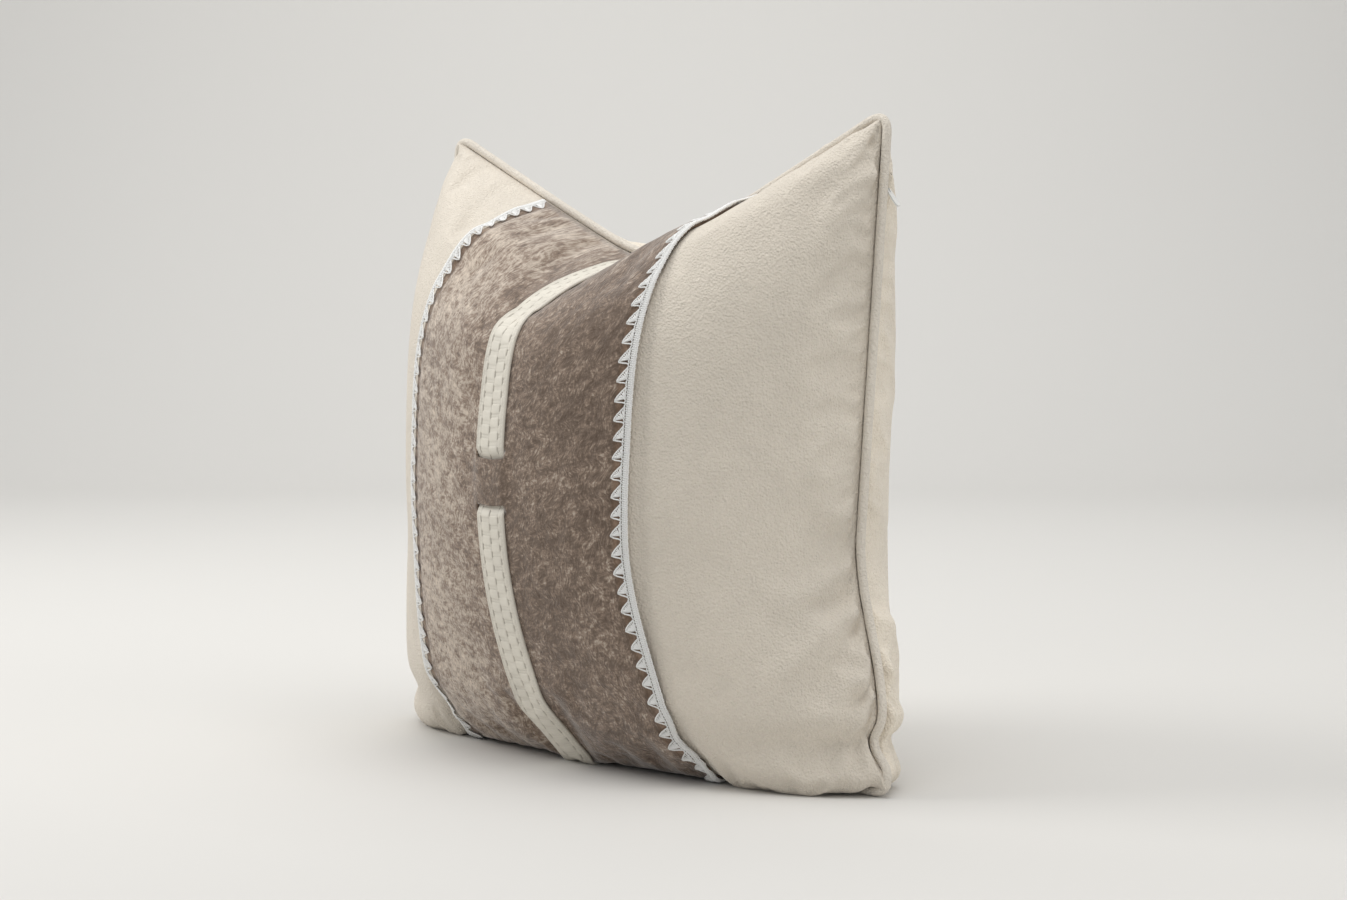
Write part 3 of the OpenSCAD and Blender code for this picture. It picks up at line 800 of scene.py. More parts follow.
def limit_move(before, after, side, most):
    """Keeps what the cloth did within reach, less inwards than outwards, and lays on the folds."""
    normals = grid_normals(before, side)
    move = after - before
    out = np.sum(move * normals, axis=-1, keepdims=True)
    along = move - out * normals
    inward = INWARD_SHARE * most * np.tanh(out / most / INWARD_SHARE)
    out = np.where(out > 0, most * np.tanh(out / most), inward)
    length = np.linalg.norm(along, axis=-1, keepdims=True)
    along = along * np.minimum(1, ALONG_SHARE * most / np.maximum(length, 1e-9))
    rows, columns = before.shape[:2]
    p = np.linspace(-1, 1, columns)[None, :]
    v = np.linspace(0, 1, rows)[:, None]
    inside = ease((1 - np.abs(p)) / 0.03) * ease(v / 0.06) * ease((1 - v) / 0.03)
    folds = fold_heights(before, side) * inside * setting("cloth").fold_share
    settled = before + (out + folds[..., None]) * normals + along
    settled[..., 2] = np.maximum(settled[..., 2], before[..., 2].min())
    return settled


def cover_surface(side):
    """The front or back of the cover after its fabric has settled."""
    if not COVER:
        form = Form()
        front = cover_grid(form, FRONT)
        back = cover_grid(form, BACK)
        settled = (front, back)
        settled = settle_cover(front, back)
        most = setting("cloth").most
        COVER["form"] = form
        COVER[FRONT] = Surface(limit_move(front, settled[0], FRONT, most), FRONT)
        COVER[BACK] = Surface(limit_move(back, settled[1], BACK, most), BACK)
    return COVER[side]


def cover_form():
    """The form that the cover follows."""
    cover_surface(FRONT)
    return COVER["form"]


# ---------------------------------------------------------------- shaders


class Wire:
    """The output of a shader node, which takes part in Python sums as a number does."""

    def __init__(self, shader, socket):
        self.shader = shader
        self.socket = socket

    def __add__(self, other):
        return self.shader.math("ADD", self, other)

    __radd__ = __add__

    def __sub__(self, other):
        return self.shader.math("SUBTRACT", self, other)

    def __rsub__(self, other):
        return self.shader.math("SUBTRACT", other, self)

    def __mul__(self, other):
        return self.shader.math("MULTIPLY", self, other)

    __rmul__ = __mul__


class Shader:
    """A material, its Principled shader and short ways to add nodes to it."""

    def __init__(self, name, **constants):
        self.material = bpy.data.materials.new(name)
        self.material.use_nodes = True
        self.tree = self.material.node_tree
        self.tree.nodes.clear()
        self.surface = self.tree.nodes.new("ShaderNodeBsdfPrincipled")
        output = self.tree.nodes.new("ShaderNodeOutputMaterial")
        self.tree.links.new(self.surface.outputs[0], output.inputs["Surface"])
        for key, value in constants.items():
            socket = key.replace("_", " ").title().replace("Ior", "IOR")
            self.surface.inputs[socket].default_value = value

    def node(self, kind, settings=None, inputs=None, output=0):
        """Adds a node, sets it up, fills its sockets and gives one of its outputs."""
        made = self.tree.nodes.new(kind)
        for key, value in (settings or {}).items():
            if key == "stops":
                set_stops(made.color_ramp, value)
            else:
                setattr(made, key, value)
        for key, value in (inputs or {}).items():
            self.fill(made.inputs[key], value)
        return Wire(self, made.outputs[output])

    def fill(self, socket, value):
        """Links a wire to a socket, or sets the socket's own value."""
        if isinstance(value, Wire):
            self.tree.links.new(value.socket, socket)
        elif isinstance(value, (tuple, list)) and socket.type == "RGBA" and len(value) == 3:
            socket.default_value = (*value, 1)
        else:
            socket.default_value = value

    def math(self, operation, a, b):
        """One sum of two numbers or wires."""
        return self.node("ShaderNodeMath", {"operation": operation}, {0: a, 1: b})

    def limited(self, value):
        """The value kept between 0 and 1."""
        return self.node("ShaderNodeClamp", None, {"Value": value, "Min": 0.0, "Max": 1.0})

    def range(self, value, low, high):
        """0 below low, 1 above high and smooth between them."""
        return self.node(
            "ShaderNodeMapRange",
            {"interpolation_type": "SMOOTHSTEP"},
            {"Value": value, "From Min": low, "From Max": high, "To Min": 0.0, "To Max": 1.0},
        )

    def place(self):
        """Place of a point in the frame, in metres."""
        return self.node("ShaderNodeTexCoord", output="Object")

    def map(self):
        """Place of a point on the cloth, in metres."""
        return self.node("ShaderNodeUVMap", {"uv_map": "cloth"})

    def scaled(self, vector, factors):
        """A vector with each of its axes scaled."""
        return self.node(
            "ShaderNodeVectorMath", {"operation": "MULTIPLY"}, {0: vector, 1: factors}
        )

    def moved(self, vector, offset):
        """The sum of two vectors."""
        return self.node("ShaderNodeVectorMath", {"operation": "ADD"}, {0: vector, 1: offset})

    def noise(self, vector, scale, detail=2.0, roughness=0.5, distortion=0.0):
        """Cloudy noise around 0.5."""
        inputs = {
            "Vector": vector,
            "Scale": scale,
            "Detail": detail,
            "Roughness": roughness,
            "Distortion": distortion,
        }
        return self.node("ShaderNodeTexNoise", None, inputs, "Fac")

    def cells(self, vector, scale, feature="F1"):
        """Distance to the nearest of scattered points."""
        inputs = {"Vector": vector, "Scale": scale, "Randomness": 1.0}
        return self.node("ShaderNodeTexVoronoi", {"feature": feature}, inputs, "Distance")

    def wave(self, vector, scale, direction, distortion):
        """Smooth stripes."""
        settings = {"wave_type": "BANDS", "bands_direction": direction, "wave_profile": "SIN"}
        inputs = {
            "Vector": vector,
            "Scale": scale,
            "Distortion": distortion,
            "Detail": 2.0,
            "Detail Scale": 1.5,
        }
        return self.node("ShaderNodeTexWave", settings, inputs, "Fac")

    def mixed(self, factor, a, b):
        """A colour between two others."""
        settings = {"data_type": "RGBA", "blend_type": "MIX", "clamp_factor": True}
        return self.node("ShaderNodeMix", settings, {0: factor, 6: a, 7: b}, 2)

    def ramp(self, value, stops):
        """A colour picked by a value from a row of stops."""
        return self.node("ShaderNodeValToRGB", {"stops": stops}, {"Fac": value}, "Color")

    def value(self, name):
        """A value that the mesh holds at its points."""
        return self.node("ShaderNodeAttribute", {"attribute_name": name}, None, "Fac")

    def bump(self, height, distance, strength=1.0, under=None):
        """Small relief, which may lie on other relief."""
        inputs = {"Height": height, "Distance": distance, "Strength": strength}
        if under is not None:
            inputs["Normal"] = under
        return self.node("ShaderNodeBump", None, inputs)

    def finish(self, colour_wire, roughness, normal=None):
        """Links the colour, the roughness and the relief."""
        self.fill(self.surface.inputs["Base Color"], colour_wire)
        self.fill(self.surface.inputs["Roughness"], roughness)
        if normal is not None:
            self.fill(self.surface.inputs["Normal"], normal)
        return self.material


def set_stops(ramp, stops):
    """Sets a ramp's stops from (place, colour) pairs."""
    while len(ramp.elements) < len(stops):
        ramp.elements.new(0.5)
    for element, (place, tone) in zip(ramp.elements, stops):
        element.position = place
        element.color = (*tone, 1)


def shade(tone, factor):
    """A darker or lighter form of a colour."""
    return tuple(min(1.0, c * factor) for c in tone)


def warm(tone, amount):
    """A warmer form of a colour."""
    return (min(1.0, tone[0] * (1 + amount)), tone[1], tone[2] * (1 - amount))


def suede(name, tone, grain=1.0):
    """Brushed suede: a fine pebbled nap, with soft clouds where the nap lies another way."""
    shader = Shader(name, sheen_weight=0.25, sheen_roughness=0.6, specular_ior_level=0.25)
    place = shader.place()
    cloud = shader.noise(place, 9.0, 3.0, 0.55)
    patch = shader.noise(place, 60.0, 3.0, 0.6)
    nap = shader.noise(place, 850.0 * grain, 2.0, 0.6)
    pebble = shader.cells(place, 520.0 * grain)
    tint = shader.range(cloud * 0.7 + patch * 0.3, 0.35, 0.65)
    colour_wire = shader.mixed(tint, shade(tone, 0.94), shade(tone, 1.04))
    colour_wire = shader.mixed(
        shader.range(nap, 0.3, 0.72) * 0.5, colour_wire, warm(shade(tone, 0.86), 0.03)
    )
    roughness = 0.82 + patch * 0.14
    height = nap * 0.6 + pebble * 0.55
    relief = shader.bump(height, 0.0018, 0.85)
    relief = shader.bump(patch, 0.004, 0.3, relief)
    return shader.finish(colour_wire, roughness, relief)


def felt(name):
    """Heathered wool felt: mottled dark and light fibres, combed mostly downwards, with painted light
    that makes its left lobe lighter and its right lobe darker, and painted shade in its stitched
    grooves.
    """
    band = setting("band")
    dark = tuple(band.dark)
    middle = tuple(band.middle)
    light = tuple(band.light)
    shader = Shader(name, sheen_weight=0.5, sheen_roughness=0.45, specular_ior_level=0.2)
    place = shader.map()
    bend = shader.noise(place, 28.0, 2.0, 0.5)
    turned = shader.moved(place, shader.node(
        "ShaderNodeCombineXYZ", None, {"X": (bend - 0.5) * 0.03, "Y": bend * 0.01, "Z": 0.0}
    ))
    streaks = shader.noise(shader.scaled(turned, (620.0, 210.0, 1.0)), 1.0, 3.0, 0.62)
    crossed = shader.noise(shader.scaled(turned, (330.0, 520.0, 1.0)), 1.0, 2.0, 0.6)
    mottle = shader.noise(place, 105.0, 4.0, 0.62)
    cloud = shader.noise(place, 16.0, 3.0, 0.55)
    # Painted light: the felt's left lobe is made lighter and its right lobe darker across the band,
    # as light from the left falls on them.
    across = shader.node("ShaderNodeSeparateXYZ", None, {"Vector": place}, "X")
    lobes = shader.range(across, -0.075, 0.03) * -0.08 + 0.055
    tone = streaks * 0.36 + crossed * 0.16 + mottle * 0.32 + cloud * 0.16 + lobes
    stops = [
        (0.36, dark),
        (0.455, shade(middle, 0.62)),
        (0.515, middle),
        (0.58, shade(light, 0.72)),
        (0.66, light),
    ]
    colour_wire = shader.ramp(tone, stops)
    hem = shader.value("hem")
    brown = warm(shade(middle, 0.62), 0.12)
    patchy = shader.range(mottle, 0.4, 0.6)
    strip = shader.mixed(patchy, brown, warm(shade(middle, 0.95), 0.1))
    colour_wire = shader.mixed(hem * 0.75, colour_wire, strip)
    # Painted shade: the stitched groove near each edge of the felt is darkened towards a near black
    # brown.
    groove = shader.value("groove")
    colour_wire = shader.mixed(groove * 0.65, colour_wire, shade(dark, 0.6))
    height = streaks * 0.6 + crossed * 0.35 + mottle * 0.5
    relief = shader.bump(height, 0.0014, 0.75)
    return shader.finish(colour_wire, 0.88 + mottle * 0.1, relief)


def thread(name, tone, twist=900.0):
    """Spun thread: plies that wind round it, and a little fuzz."""
    shader = Shader(name, sheen_weight=0.2, sheen_roughness=0.5, specular_ior_level=0.3)
    place = shader.map()
    parts = shader.node("ShaderNodeSeparateXYZ", None, {"Vector": place}, "Y")
    around = shader.node("ShaderNodeSeparateXYZ", None, {"Vector": place}, "X")
    phase = (parts * twist + around * 2.0) * (2 * math.pi)
    ply = shader.math("SINE", phase, 0.0) * 0.5 + 0.5
    fuzz = shader.noise(shader.place(), 1500.0, 2.0, 0.6)
    # Painted shade: the colour darkens in the grooves between the plies, with random fuzz tone.
    tint = shader.range(ply * 0.7 + fuzz * 0.3, 0.15, 0.7)
    colour_wire = shader.mixed(tint, shade(tone, 0.92), tone)
    relief = shader.bump(ply * 0.8 + fuzz * 0.4, 0.0003, 0.7)
    return shader.finish(colour_wire, 0.75 + fuzz * 0.2, relief)


def strap_leather(name):
    """Smooth leather with fine grain, with painted shade in the slits and grooves of its weave and
    painted highlight on its ridges.
    """
    strap = setting("strap")
    tone = tuple(strap.leather)
    shader = Shader(name, specular_ior_level=0.45)
    place = shader.place()
    grain = shader.cells(place, 900.0, "DISTANCE_TO_EDGE")
    fine = shader.noise(place, 1600.0, 2.0, 0.6)
    cloud = shader.noise(place, 45.0, 3.0, 0.6)
    crease = shader.value("crease")
    colour_wire = shader.mixed(shader.range(cloud, 0.35, 0.65), shade(tone, 0.95), shade(tone, 1.03))
    # Painted shade: darkened towards the slit colour in the weave's slits, its bar grooves and its
    # lanes' sides, with darker stitch dashes on the folded edges.
    colour_wire = shader.mixed(crease, colour_wire, tuple(strap.slits))
    # Painted highlight: lighter on the ridges and the tops of the blocks; the same mask lowers the
    # roughness there for the polish.
    wear = shader.value("wear")
    colour_wire = shader.mixed(wear * 0.5, colour_wire, shade(tone, 1.12))
    roughness = shader.limited(0.5 + cloud * 0.14 - wear * 0.1)
    relief = shader.bump(shader.range(grain, 0.0, 0.12) * 0.6 + fine * 0.4, 0.00018, 0.5)
    return shader.finish(colour_wire, roughness, relief)


def woven(name, tone, threads):
    """Plain weave with a given number of threads a metre."""
    shader = Shader(name, sheen_weight=0.15, specular_ior_level=0.25)
    place = shader.place()
    warp = shader.wave(place, threads / 20, "X", 0.3)
    weft = shader.wave(place, threads / 20, "Z", 0.3)
    cloud = shader.noise(place, 40.0, 3.0, 0.6)
    fuzz = shader.noise(place, 1200.0, 2.0, 0.5)
    weave = shader.math("MAXIMUM", warp, weft)
    # Painted shade: the colour darkens in the gaps between the threads, mixed with a random cloudy
    # tone.
    tint = shader.limited(weave * 0.5 + cloud * 0.5)
    colour_wire = shader.mixed(tint, shade(tone, 0.85), tone)
    relief = shader.bump(weave * 0.7 + fuzz * 0.3, 0.0003, 0.5)
    return shader.finish(colour_wire, 0.8 + cloud * 0.15, relief)


def filling_fibre(name):
    """Crimped polyester fibre in loose clumps."""
    tone = tuple(setting("insert").fibre)
    shader = Shader(name, sheen_weight=0.4, specular_ior_level=0.3)
    place = shader.place()
    clump = shader.noise(place, 30.0, 4.0, 0.6, 0.6)
    strand = shader.noise(place, 420.0, 4.0, 0.7, 1.5)
    colour_wire = shader.mixed(shader.range(clump, 0.35, 0.65), shade(tone, 0.86), tone)
    relief = shader.bump(clump * 0.6 + strand * 0.6, 0.003, 0.8)
    return shader.finish(colour_wire, 0.85 + strand * 0.1, relief)


def enamel(name):
    """White baked enamel over cast metal, a little worn."""
    tone = tuple(setting("zip").enamel)
    shader = Shader(name, specular_ior_level=0.5, coat_roughness=0.15)
    place = shader.place()
    worn = shader.range(shader.noise(place, 700.0, 3.0, 0.6), 0.62, 0.8)
    orange_peel = shader.noise(place, 2600.0, 2.0, 0.5)
    colour_wire = shader.mixed(worn * 0.35, tone, shade(tone, 0.72))
    shader.fill(shader.surface.inputs["Coat Weight"], 0.35 - worn * 0.2)
    relief = shader.bump(orange_peel, 0.00006, 0.4)
    return shader.finish(colour_wire, 0.3 + worn * 0.25, relief)


def nylon(name):
    """Moulded nylon, slightly cloudy."""
    tone = tuple(setting("zip").nylon)
    shader = Shader(name, specular_ior_level=0.5)
    place = shader.place()
    cloud = shader.noise(place, 900.0, 2.0, 0.5)
    colour_wire = shader.mixed(cloud, shade(tone, 0.9), tone)
    return shader.finish(colour_wire, 0.35 + cloud * 0.15, shader.bump(cloud, 0.00005, 0.4))


def studio(name, tone):
    """Painted floor and backdrop, with faint scuffs."""
    shader = Shader(name, specular_ior_level=0.2)
    place = shader.place()
    cloud = shader.noise(place, 1.3, 3.0, 0.5)
    colour_wire = shader.mixed(cloud, shade(tone, 0.985), tone)
    return shader.finish(colour_wire, 0.75 + cloud * 0.1)


def dress(piece, material):
    """Gives a piece one material."""
    piece.data.materials.clear()
    piece.data.materials.append(material)


def sew_on(piece, node, material):
    """Finishes a piece that takes a node's place on the cover."""
    dress(piece, material)
    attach(piece, "cover")
    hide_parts(node)


# ---------------------------------------------------------------- the cover's panels

TUCKS = ((0.9 * MM, 1.5 * MM), (1.1 * MM, 3.1 * MM))
ZIP_MOUTH = 4.4 * MM
ZIP_MOUTH_RUN = 6 * MM
ZIP_SIDE = 0.8
ZIP_SIDE_RUN = 0.2
PANEL_STEP = 3.4 * MM
PANEL_ACROSS = 620 * MM
PANEL_UP = 660 * MM
DIP_DEPTH = 2.2 * MM
DIP_W = 7 * MM


def zip_window(form, z):
    """1 along the zip and 0 past its ends."""
    zip_values = setting("zip")
    high = form.s.corner_h - zip_values.below_corner
    run = ZIP_MOUTH_RUN
    return ease((z - zip_values.low + run) / run) * ease((high + run - z) / run)


def panel_grid(form, surface, p, v):
    """Outer points of a panel, with its edges tucked in beside the piping."""
    side = surface.side
    rows, columns = p.shape
    tucks = len(TUCKS)
    p = np.pad(p, tucks, mode="edge")
    v = np.pad(v, tucks, mode="edge")
    outer = surface.at(p, v)
    normals = surface.normal(p, v)
    if side == FRONT:
        near = np.abs(outer[..., 0]) - setting("band").width / 2 * BAND_PULL
        past = near - setting("trim").braid_w
        dip = DIP_DEPTH * bell(past - 2 * MM, DIP_W) * ease((v - FLOOR_SHARE) / 0.1)
        dip = dip * ease((0.93 - v) / 0.1)
        outer = outer - normals * dip[..., None]
    level = np.pad(np.zeros((rows, columns), int), tucks, mode="linear_ramp", end_values=tucks)
    for k, (set_out, set_in) in enumerate(TUCKS, 1):
        ring = form.point(p, v, side, form.seam_in - set_out, seam_side=form.seam_side - set_in)
        outer = np.where((level == k)[..., None], ring, outer)
    return outer, normals


def make_panel(side):
    """The front or back panel of the cover."""
    form = cover_form()
    surface = cover_surface(side)
    columns = round(PANEL_ACROSS / PANEL_STEP)
    rows = round(PANEL_UP / PANEL_STEP)
    p = np.linspace(-1, 1, columns + 1)[None, :]
    v = np.linspace(0, 1, rows + 1)[:, None]
    p, v = (np.array(g) for g in np.broadcast_arrays(p, v))
    if side == BACK:
        z = surface.at(p, v)[..., 2]
        reach = form.s.back_crown * np.maximum(form.reach(p, v, side), 0.05)
        last = 1 - 2 / math.pi * (ZIP_MOUTH / reach) ** (1 / CROWN_POWER[side])
        squeeze = ease((p - ZIP_SIDE) / ZIP_SIDE_RUN) * zip_window(form, z)
        p = np.where(p > ZIP_SIDE, p - (1 - last) * squeeze, p)
    outer, normals = panel_grid(form, surface, p, v)
    inner = outer - normals * form.s.skin_t
    # The back's colour is lighter than the front's as painted light.
    node, slot, tone = "back_panel", "cream_suede_back", form.s.back_painted_light_colour
    if side == FRONT:
        node, slot, tone = "front_panel", "cream_suede", form.s.front_colour
    name = node + "_suede"
    piece = make_sheet(name, outer, inner, side)
    sew_on(piece, node, suede(name, tuple(tone)))
    return piece


# ---------------------------------------------------------------- felt band

FELT_STEP = 2.1 * MM
FELT_SKIP = 4
SEWN_RUN = 0.018


def pressed(v):
    """How thick a layer still is near the top and bottom seams, where it is sewn in."""
    near = np.minimum(v, 1 - v)
    return blend(0.3, 1.0, ease(near / SEWN_RUN))


def row_at(form, z):
    """The v of a height, in the middle of the front."""
    low = form.stack_t
    high = form.top_z(0.0) - form.seam_in
    return FLOOR_SHARE + (1 - FLOOR_SHARE) * (z - low) / (high - low)


def slit_heights(form):
    """Heights of the lower and the upper slit."""
    band = setting("band")
    middle = band.tunnel_share * form.s.corner_h
    return middle - band.tunnel_h / 2, middle + band.tunnel_h / 2


def steps_between(marks, step, multiple=1):
    """Values from mark to mark in even steps, and the place of each mark in them."""
    values = [marks[0]]
    places = [0]
    for low, high in zip(marks, marks[1:]):
        count = max(1, round((high - low) / step / multiple)) * multiple
        values += [blend(low, high, (k + 1) / count) for k in range(count)]
        places.append(len(values) - 1)
    return np.array(values), places


def make_felt():
    """The felt band, with two slits that the strap goes through."""
    form = cover_form()
    surface = cover_surface(FRONT)
    band = setting("band")
    strap = setting("strap")
    half = form.band_half
    slit_half = form.across(strap.width / 2 + LAYER_GAP)
    long = surface.rows_by_length(0.0, FELT_STEP)[1][-1]
    step_p = FELT_STEP / (band.width / 2) * half
    p, marks_p = steps_between([-half, -slit_half, slit_half, half], step_p, FELT_SKIP)
    edges = []
    for z in slit_heights(form):
        edges += [row_at(form, z - band.slit_h / 2), row_at(form, z + band.slit_h / 2)]
    v, marks_v = steps_between([0.0, *edges, 1.0], FELT_STEP / long)
    rows, columns = len(v), len(p)
    p, v = np.broadcast_arrays(p[None, :], v[:, None])
    u_map = p / half * band.width / 2
    v_map = v * long
    lump = lattice_noise(u_map, v_map, 6 * MM, 11) + 0.7 * lattice_noise(u_map, v_map, 3 * MM, 12)
    from_edge = band.width / 2 - np.abs(u_map)
    # The groove is pressed into the felt here, and the felt's shader uses the same mask to paint
    # shade into its colour.
    groove = bell(from_edge - band.hem, 0.9 * MM)
    hem = 1 - ease((from_edge - band.hem + 1 * MM) / (2 * MM))
    height = LAYER_GAP + band.felt_t * pressed(v)
    relief = band.lump * lump * (1 - 0.7 * hem) - 0.9 * MM * groove - 0.5 * MM * hem
    round_edge = 1.1 * MM * (1 - np.sqrt(np.clip(from_edge / (2.5 * MM), 0, 1)))
    under = felt_bulge(form, p, v)
    outer = surface.lifted(p, v, height + (relief - round_edge) * pressed(v) + under)
    thin = slice(None, None, FELT_SKIP)
    base = LAYER_GAP * pressed(v) + np.maximum(under, 0)
    inner = surface.lifted(p[:, thin], v[:, thin], base[:, thin])
    kept = np.ones((rows - 1, (columns - 1) // FELT_SKIP), bool)
    left, right = marks_p[1] // FELT_SKIP, marks_p[2] // FELT_SKIP
    for low, high in ((marks_v[1], marks_v[2]), (marks_v[3], marks_v[4])):
        kept[low:high, left:right] = False
    uv = np.stack([u_map, v_map], axis=-1)
    piece = make_sheet(
        "felt_band_wool", outer, inner, FRONT, FELT_SKIP, kept, uv, {"hem": hem, "groove": groove}
    )
    sew_on(piece, "felt_band", felt("felt_wool"))
    return piece


STRAP_BEND = 5 * MM


def strap_sunk(form, v):
    """How far under the felt the strap is: 0 over it and 1 between the slits."""
    low, high = slit_heights(form)
    a, b = (row_at(form, low + step) for step in (-STRAP_BEND, STRAP_BEND))
    c, d = (row_at(form, high + step) for step in (-STRAP_BEND, STRAP_BEND))
    return ease((v - a) / (b - a)) * (1 - ease((v - c) / (d - c)))


def felt_bulge(form, p, v):
    """How far the strap under the felt pushes it out, between the slits."""
    strap = setting("strap")
    push = ease((form.strap_half * 1.5 - np.abs(p)) / (form.strap_half * 0.7))
    return 0.9 * strap.thickness * push * strap_sunk(form, v)


# ---------------------------------------------------------------- crochet trims

BRAID_TURN = 5.0 * MM
BRAID_STEP = 0.7 * MM
FAN_STRANDS = 8


def trim_line(form, surface, sign, inward, along, height, v_of):
    """Points of a thread, from its distance in from the felt's edge and along the edge."""
    edge = setting("band").width / 2 * BAND_PULL
    v = np.interp(along, v_of[1], v_of[0])
    p = sign * form.across(edge - np.asarray(inward))
    points = surface.lifted(p, v, height * pressed(v))
    return points, surface.normal(p, v)


def make_trim(sign):
    """A crochet trim: a plaited braid over the felt's edge and a row of fans over the felt."""
    form = cover_form()
    surface = cover_surface(FRONT)
    trim = setting("trim")
    band = setting("band")
    v_of = surface.rows_by_length(sign * form.band_half, BRAID_STEP)
    long = v_of[1][-1]
    bed = band.felt_t + 2 * LAYER_GAP
    tubes = Tubes()
    along = v_of[1]
    strand_r = trim.thread_r * 1.35
    for k in range(3):
        phase = 2 * math.pi * (along / BRAID_TURN + k / 3)
        swing = np.sin(phase)
        inward = -trim.braid_w / 2 + 0.3 * MM + (trim.braid_w / 2 - strand_r) * swing * 1.05
        droop = 1.6 * MM * np.clip(-inward / trim.braid_w, 0, 1)
        height = bed + 0.95 * MM + 0.65 * MM * np.sin(2 * phase + 0.6) - droop
        line, up = trim_line(form, surface, sign, inward, along, height, v_of)
        tubes.add(line, up, strand_r, 6)
    edge_phase = 2 * math.pi * along / (BRAID_TURN / 2)
    inward = 0.9 * MM + 0.35 * MM * np.sin(edge_phase)
    height = bed + 0.8 * MM + 0.3 * MM * np.cos(edge_phase)
    line, up = trim_line(form, surface, sign, inward, along, height, v_of)
    tubes.add(line, up, trim.thread_r * 1.2, 6)
    jitter = np.random.default_rng(21 if sign > 0 else 22)
    count = int(long / trim.pitch)
    pitch = long / count
    for tooth in range(count):
        add_fan(tubes, form, surface, sign, tooth * pitch, pitch, bed, v_of, jitter)
    node = "crochet_trim_right" if sign > 0 else "crochet_trim_left"
    name = node + "_thread"
    piece = tubes.piece(name)
    sew_on(piece, node, thread(name, tuple(trim.cotton)))
    return piece


def add_fan(tubes, form, surface, sign, start, pitch, bed, v_of, jitter):
    """One fan: strands that spread from a point on the braid to a curved edge."""
    trim = setting("trim")
    reach = trim.tooth_w * jitter.uniform(1.02, 1.15)
    root_in, root_at = 0.8 * MM, start + 0.22 * pitch
    bulge = 0.9 * MM
    turn = np.linspace(0, 1, 12)
    tip_at = start + (0.24 + jitter.uniform(-0.03, 0.03)) * pitch
    straight = 1 - turn
    rim_in = reach * blend(straight, np.cos(turn * math.pi / 2), 0.8) + 0.9 * MM * turn
    rim_at = blend(tip_at, start + 0.8 * pitch, turn**1.1)
    back_in = np.array([root_in, reach * 0.35, reach * 0.72])
    back_at = np.array([start - 0.02 * pitch, start + 0.06 * pitch, start + 0.14 * pitch])
    inward = np.concatenate([back_in, rim_in])
    along = np.concatenate([back_at, rim_at])
    wobble = 0.25 * MM * np.sin(np.arange(len(inward)) * 2.1 + start / MM)
    line, up = trim_line(form, surface, sign, inward, along, bed + bulge + wobble * 0.6, v_of)
    tubes.add(line, up, trim.thread_r * 1.25, 6)
    for k in range(FAN_STRANDS):
        share = (k + 0.5) / FAN_STRANDS
        end_in = np.interp(share, turn, rim_in) - 0.2 * MM
        end_at = np.interp(share, turn, rim_at)
        t = np.linspace(0, 1, 6)
        bow = np.sin(t * math.pi)
        inward = blend(root_in, end_in, t) + jitter.uniform(-0.15, 0.15) * MM * bow
        along = blend(root_at, end_at, t) + jitter.uniform(-0.2, 0.2) * MM * bow
        height = bed + bulge * (0.75 + 0.45 * bow) + (k % 2) * 0.25 * MM * bow
        line, up = trim_line(form, surface, sign, inward, along, height, v_of)
        radius = trim.thread_r * (0.8 + 0.35 * bow)
        tubes.add(line, up, radius, 5)


# ---------------------------------------------------------------- woven strap

STRAP_COLUMNS = 72
STRAP_STEP = 0.54 * MM
LANES = (-12.6 * MM, -9.6 * MM, 0.0, 9.6 * MM, 12.6 * MM)
BAR_HALF = 0.95 * MM
SLIT_HALF_LONG = 2.4 * MM
SLIT_HALF_WIDE = 0.36 * MM


def strap_relief(x, along):
    """Height, painted shade with stitch dashes, and painted highlight with polish of the strap's
    weave at a place on it, in metres.
    """
    strap = setting("strap")
    pitch = strap.pitch
    height = np.zeros_like(x)
    crease = np.zeros_like(x)
    wear = np.zeros_like(x)
    for lane, (low, high) in enumerate(zip(LANES, LANES[1:])):
        inside = (x >= low) & (x < high)
        offset = 0.5 * pitch * (lane % 2)
        to_bar = np.abs((along - offset + pitch / 2) % pitch - pitch / 2)
        from_side = np.minimum(x - low, high - x)
        dome = np.clip((to_bar - BAR_HALF) / (pitch / 2 - BAR_HALF), 0, 1)
        block = (1 - (1 - dome) ** 4) * (1 - (1 - np.clip(from_side / (2.5 * MM), 0, 1)) ** 3)
        ridge = bell(to_bar - 0.62 * MM, 0.3 * MM)
        groove = bell(to_bar - BAR_HALF - 0.2 * MM, 0.22 * MM)
        lane_height = 0.42 * MM * block + 0.24 * MM * ridge - 0.22 * MM * groove
        lane_height -= 0.18 * MM * bell(from_side, 0.35 * MM)
        height = np.where(inside, lane_height, height)
        # Painted shade in the grooves beside the bars and along each lane's sides.
        crease = np.where(inside, 0.16 * groove + 0.10 * bell(from_side, 0.3 * MM), crease)
        # Painted highlight on the ridges and the tops of the blocks, which the leather's shader also
        # makes glossier.
        wear = np.where(inside, 0.5 * ridge + 0.4 * dome, wear)
        if lane > 0:
            # Each slit is sunk into the strap, and its inside gets painted shade.
            slit = bell(x - low, SLIT_HALF_WIDE) * (1 - ease((to_bar - SLIT_HALF_LONG) / MM + 0.5))
            height = height - 0.75 * MM * slit
            crease = np.maximum(crease, np.clip(slit * 1.15 - 0.1, 0, 0.85))
    half = strap.width / 2
    from_edge = half - np.abs(x)
    fold = from_edge < half - LANES[-1]
    stitch = bell(from_edge - 1.5 * MM, 0.28 * MM) * (np.cos(along * 2 * math.pi / (3.1 * MM)) > -0.5)
    height = np.where(fold, 0.3 * MM - 0.25 * MM * stitch, height)
    crease = np.where(fold, 0.22 * stitch, crease)
    height = height - 1.1 * MM * (1 - np.sqrt(np.clip(from_edge / (1.1 * MM), 0, 1)))
    return height, crease, wear


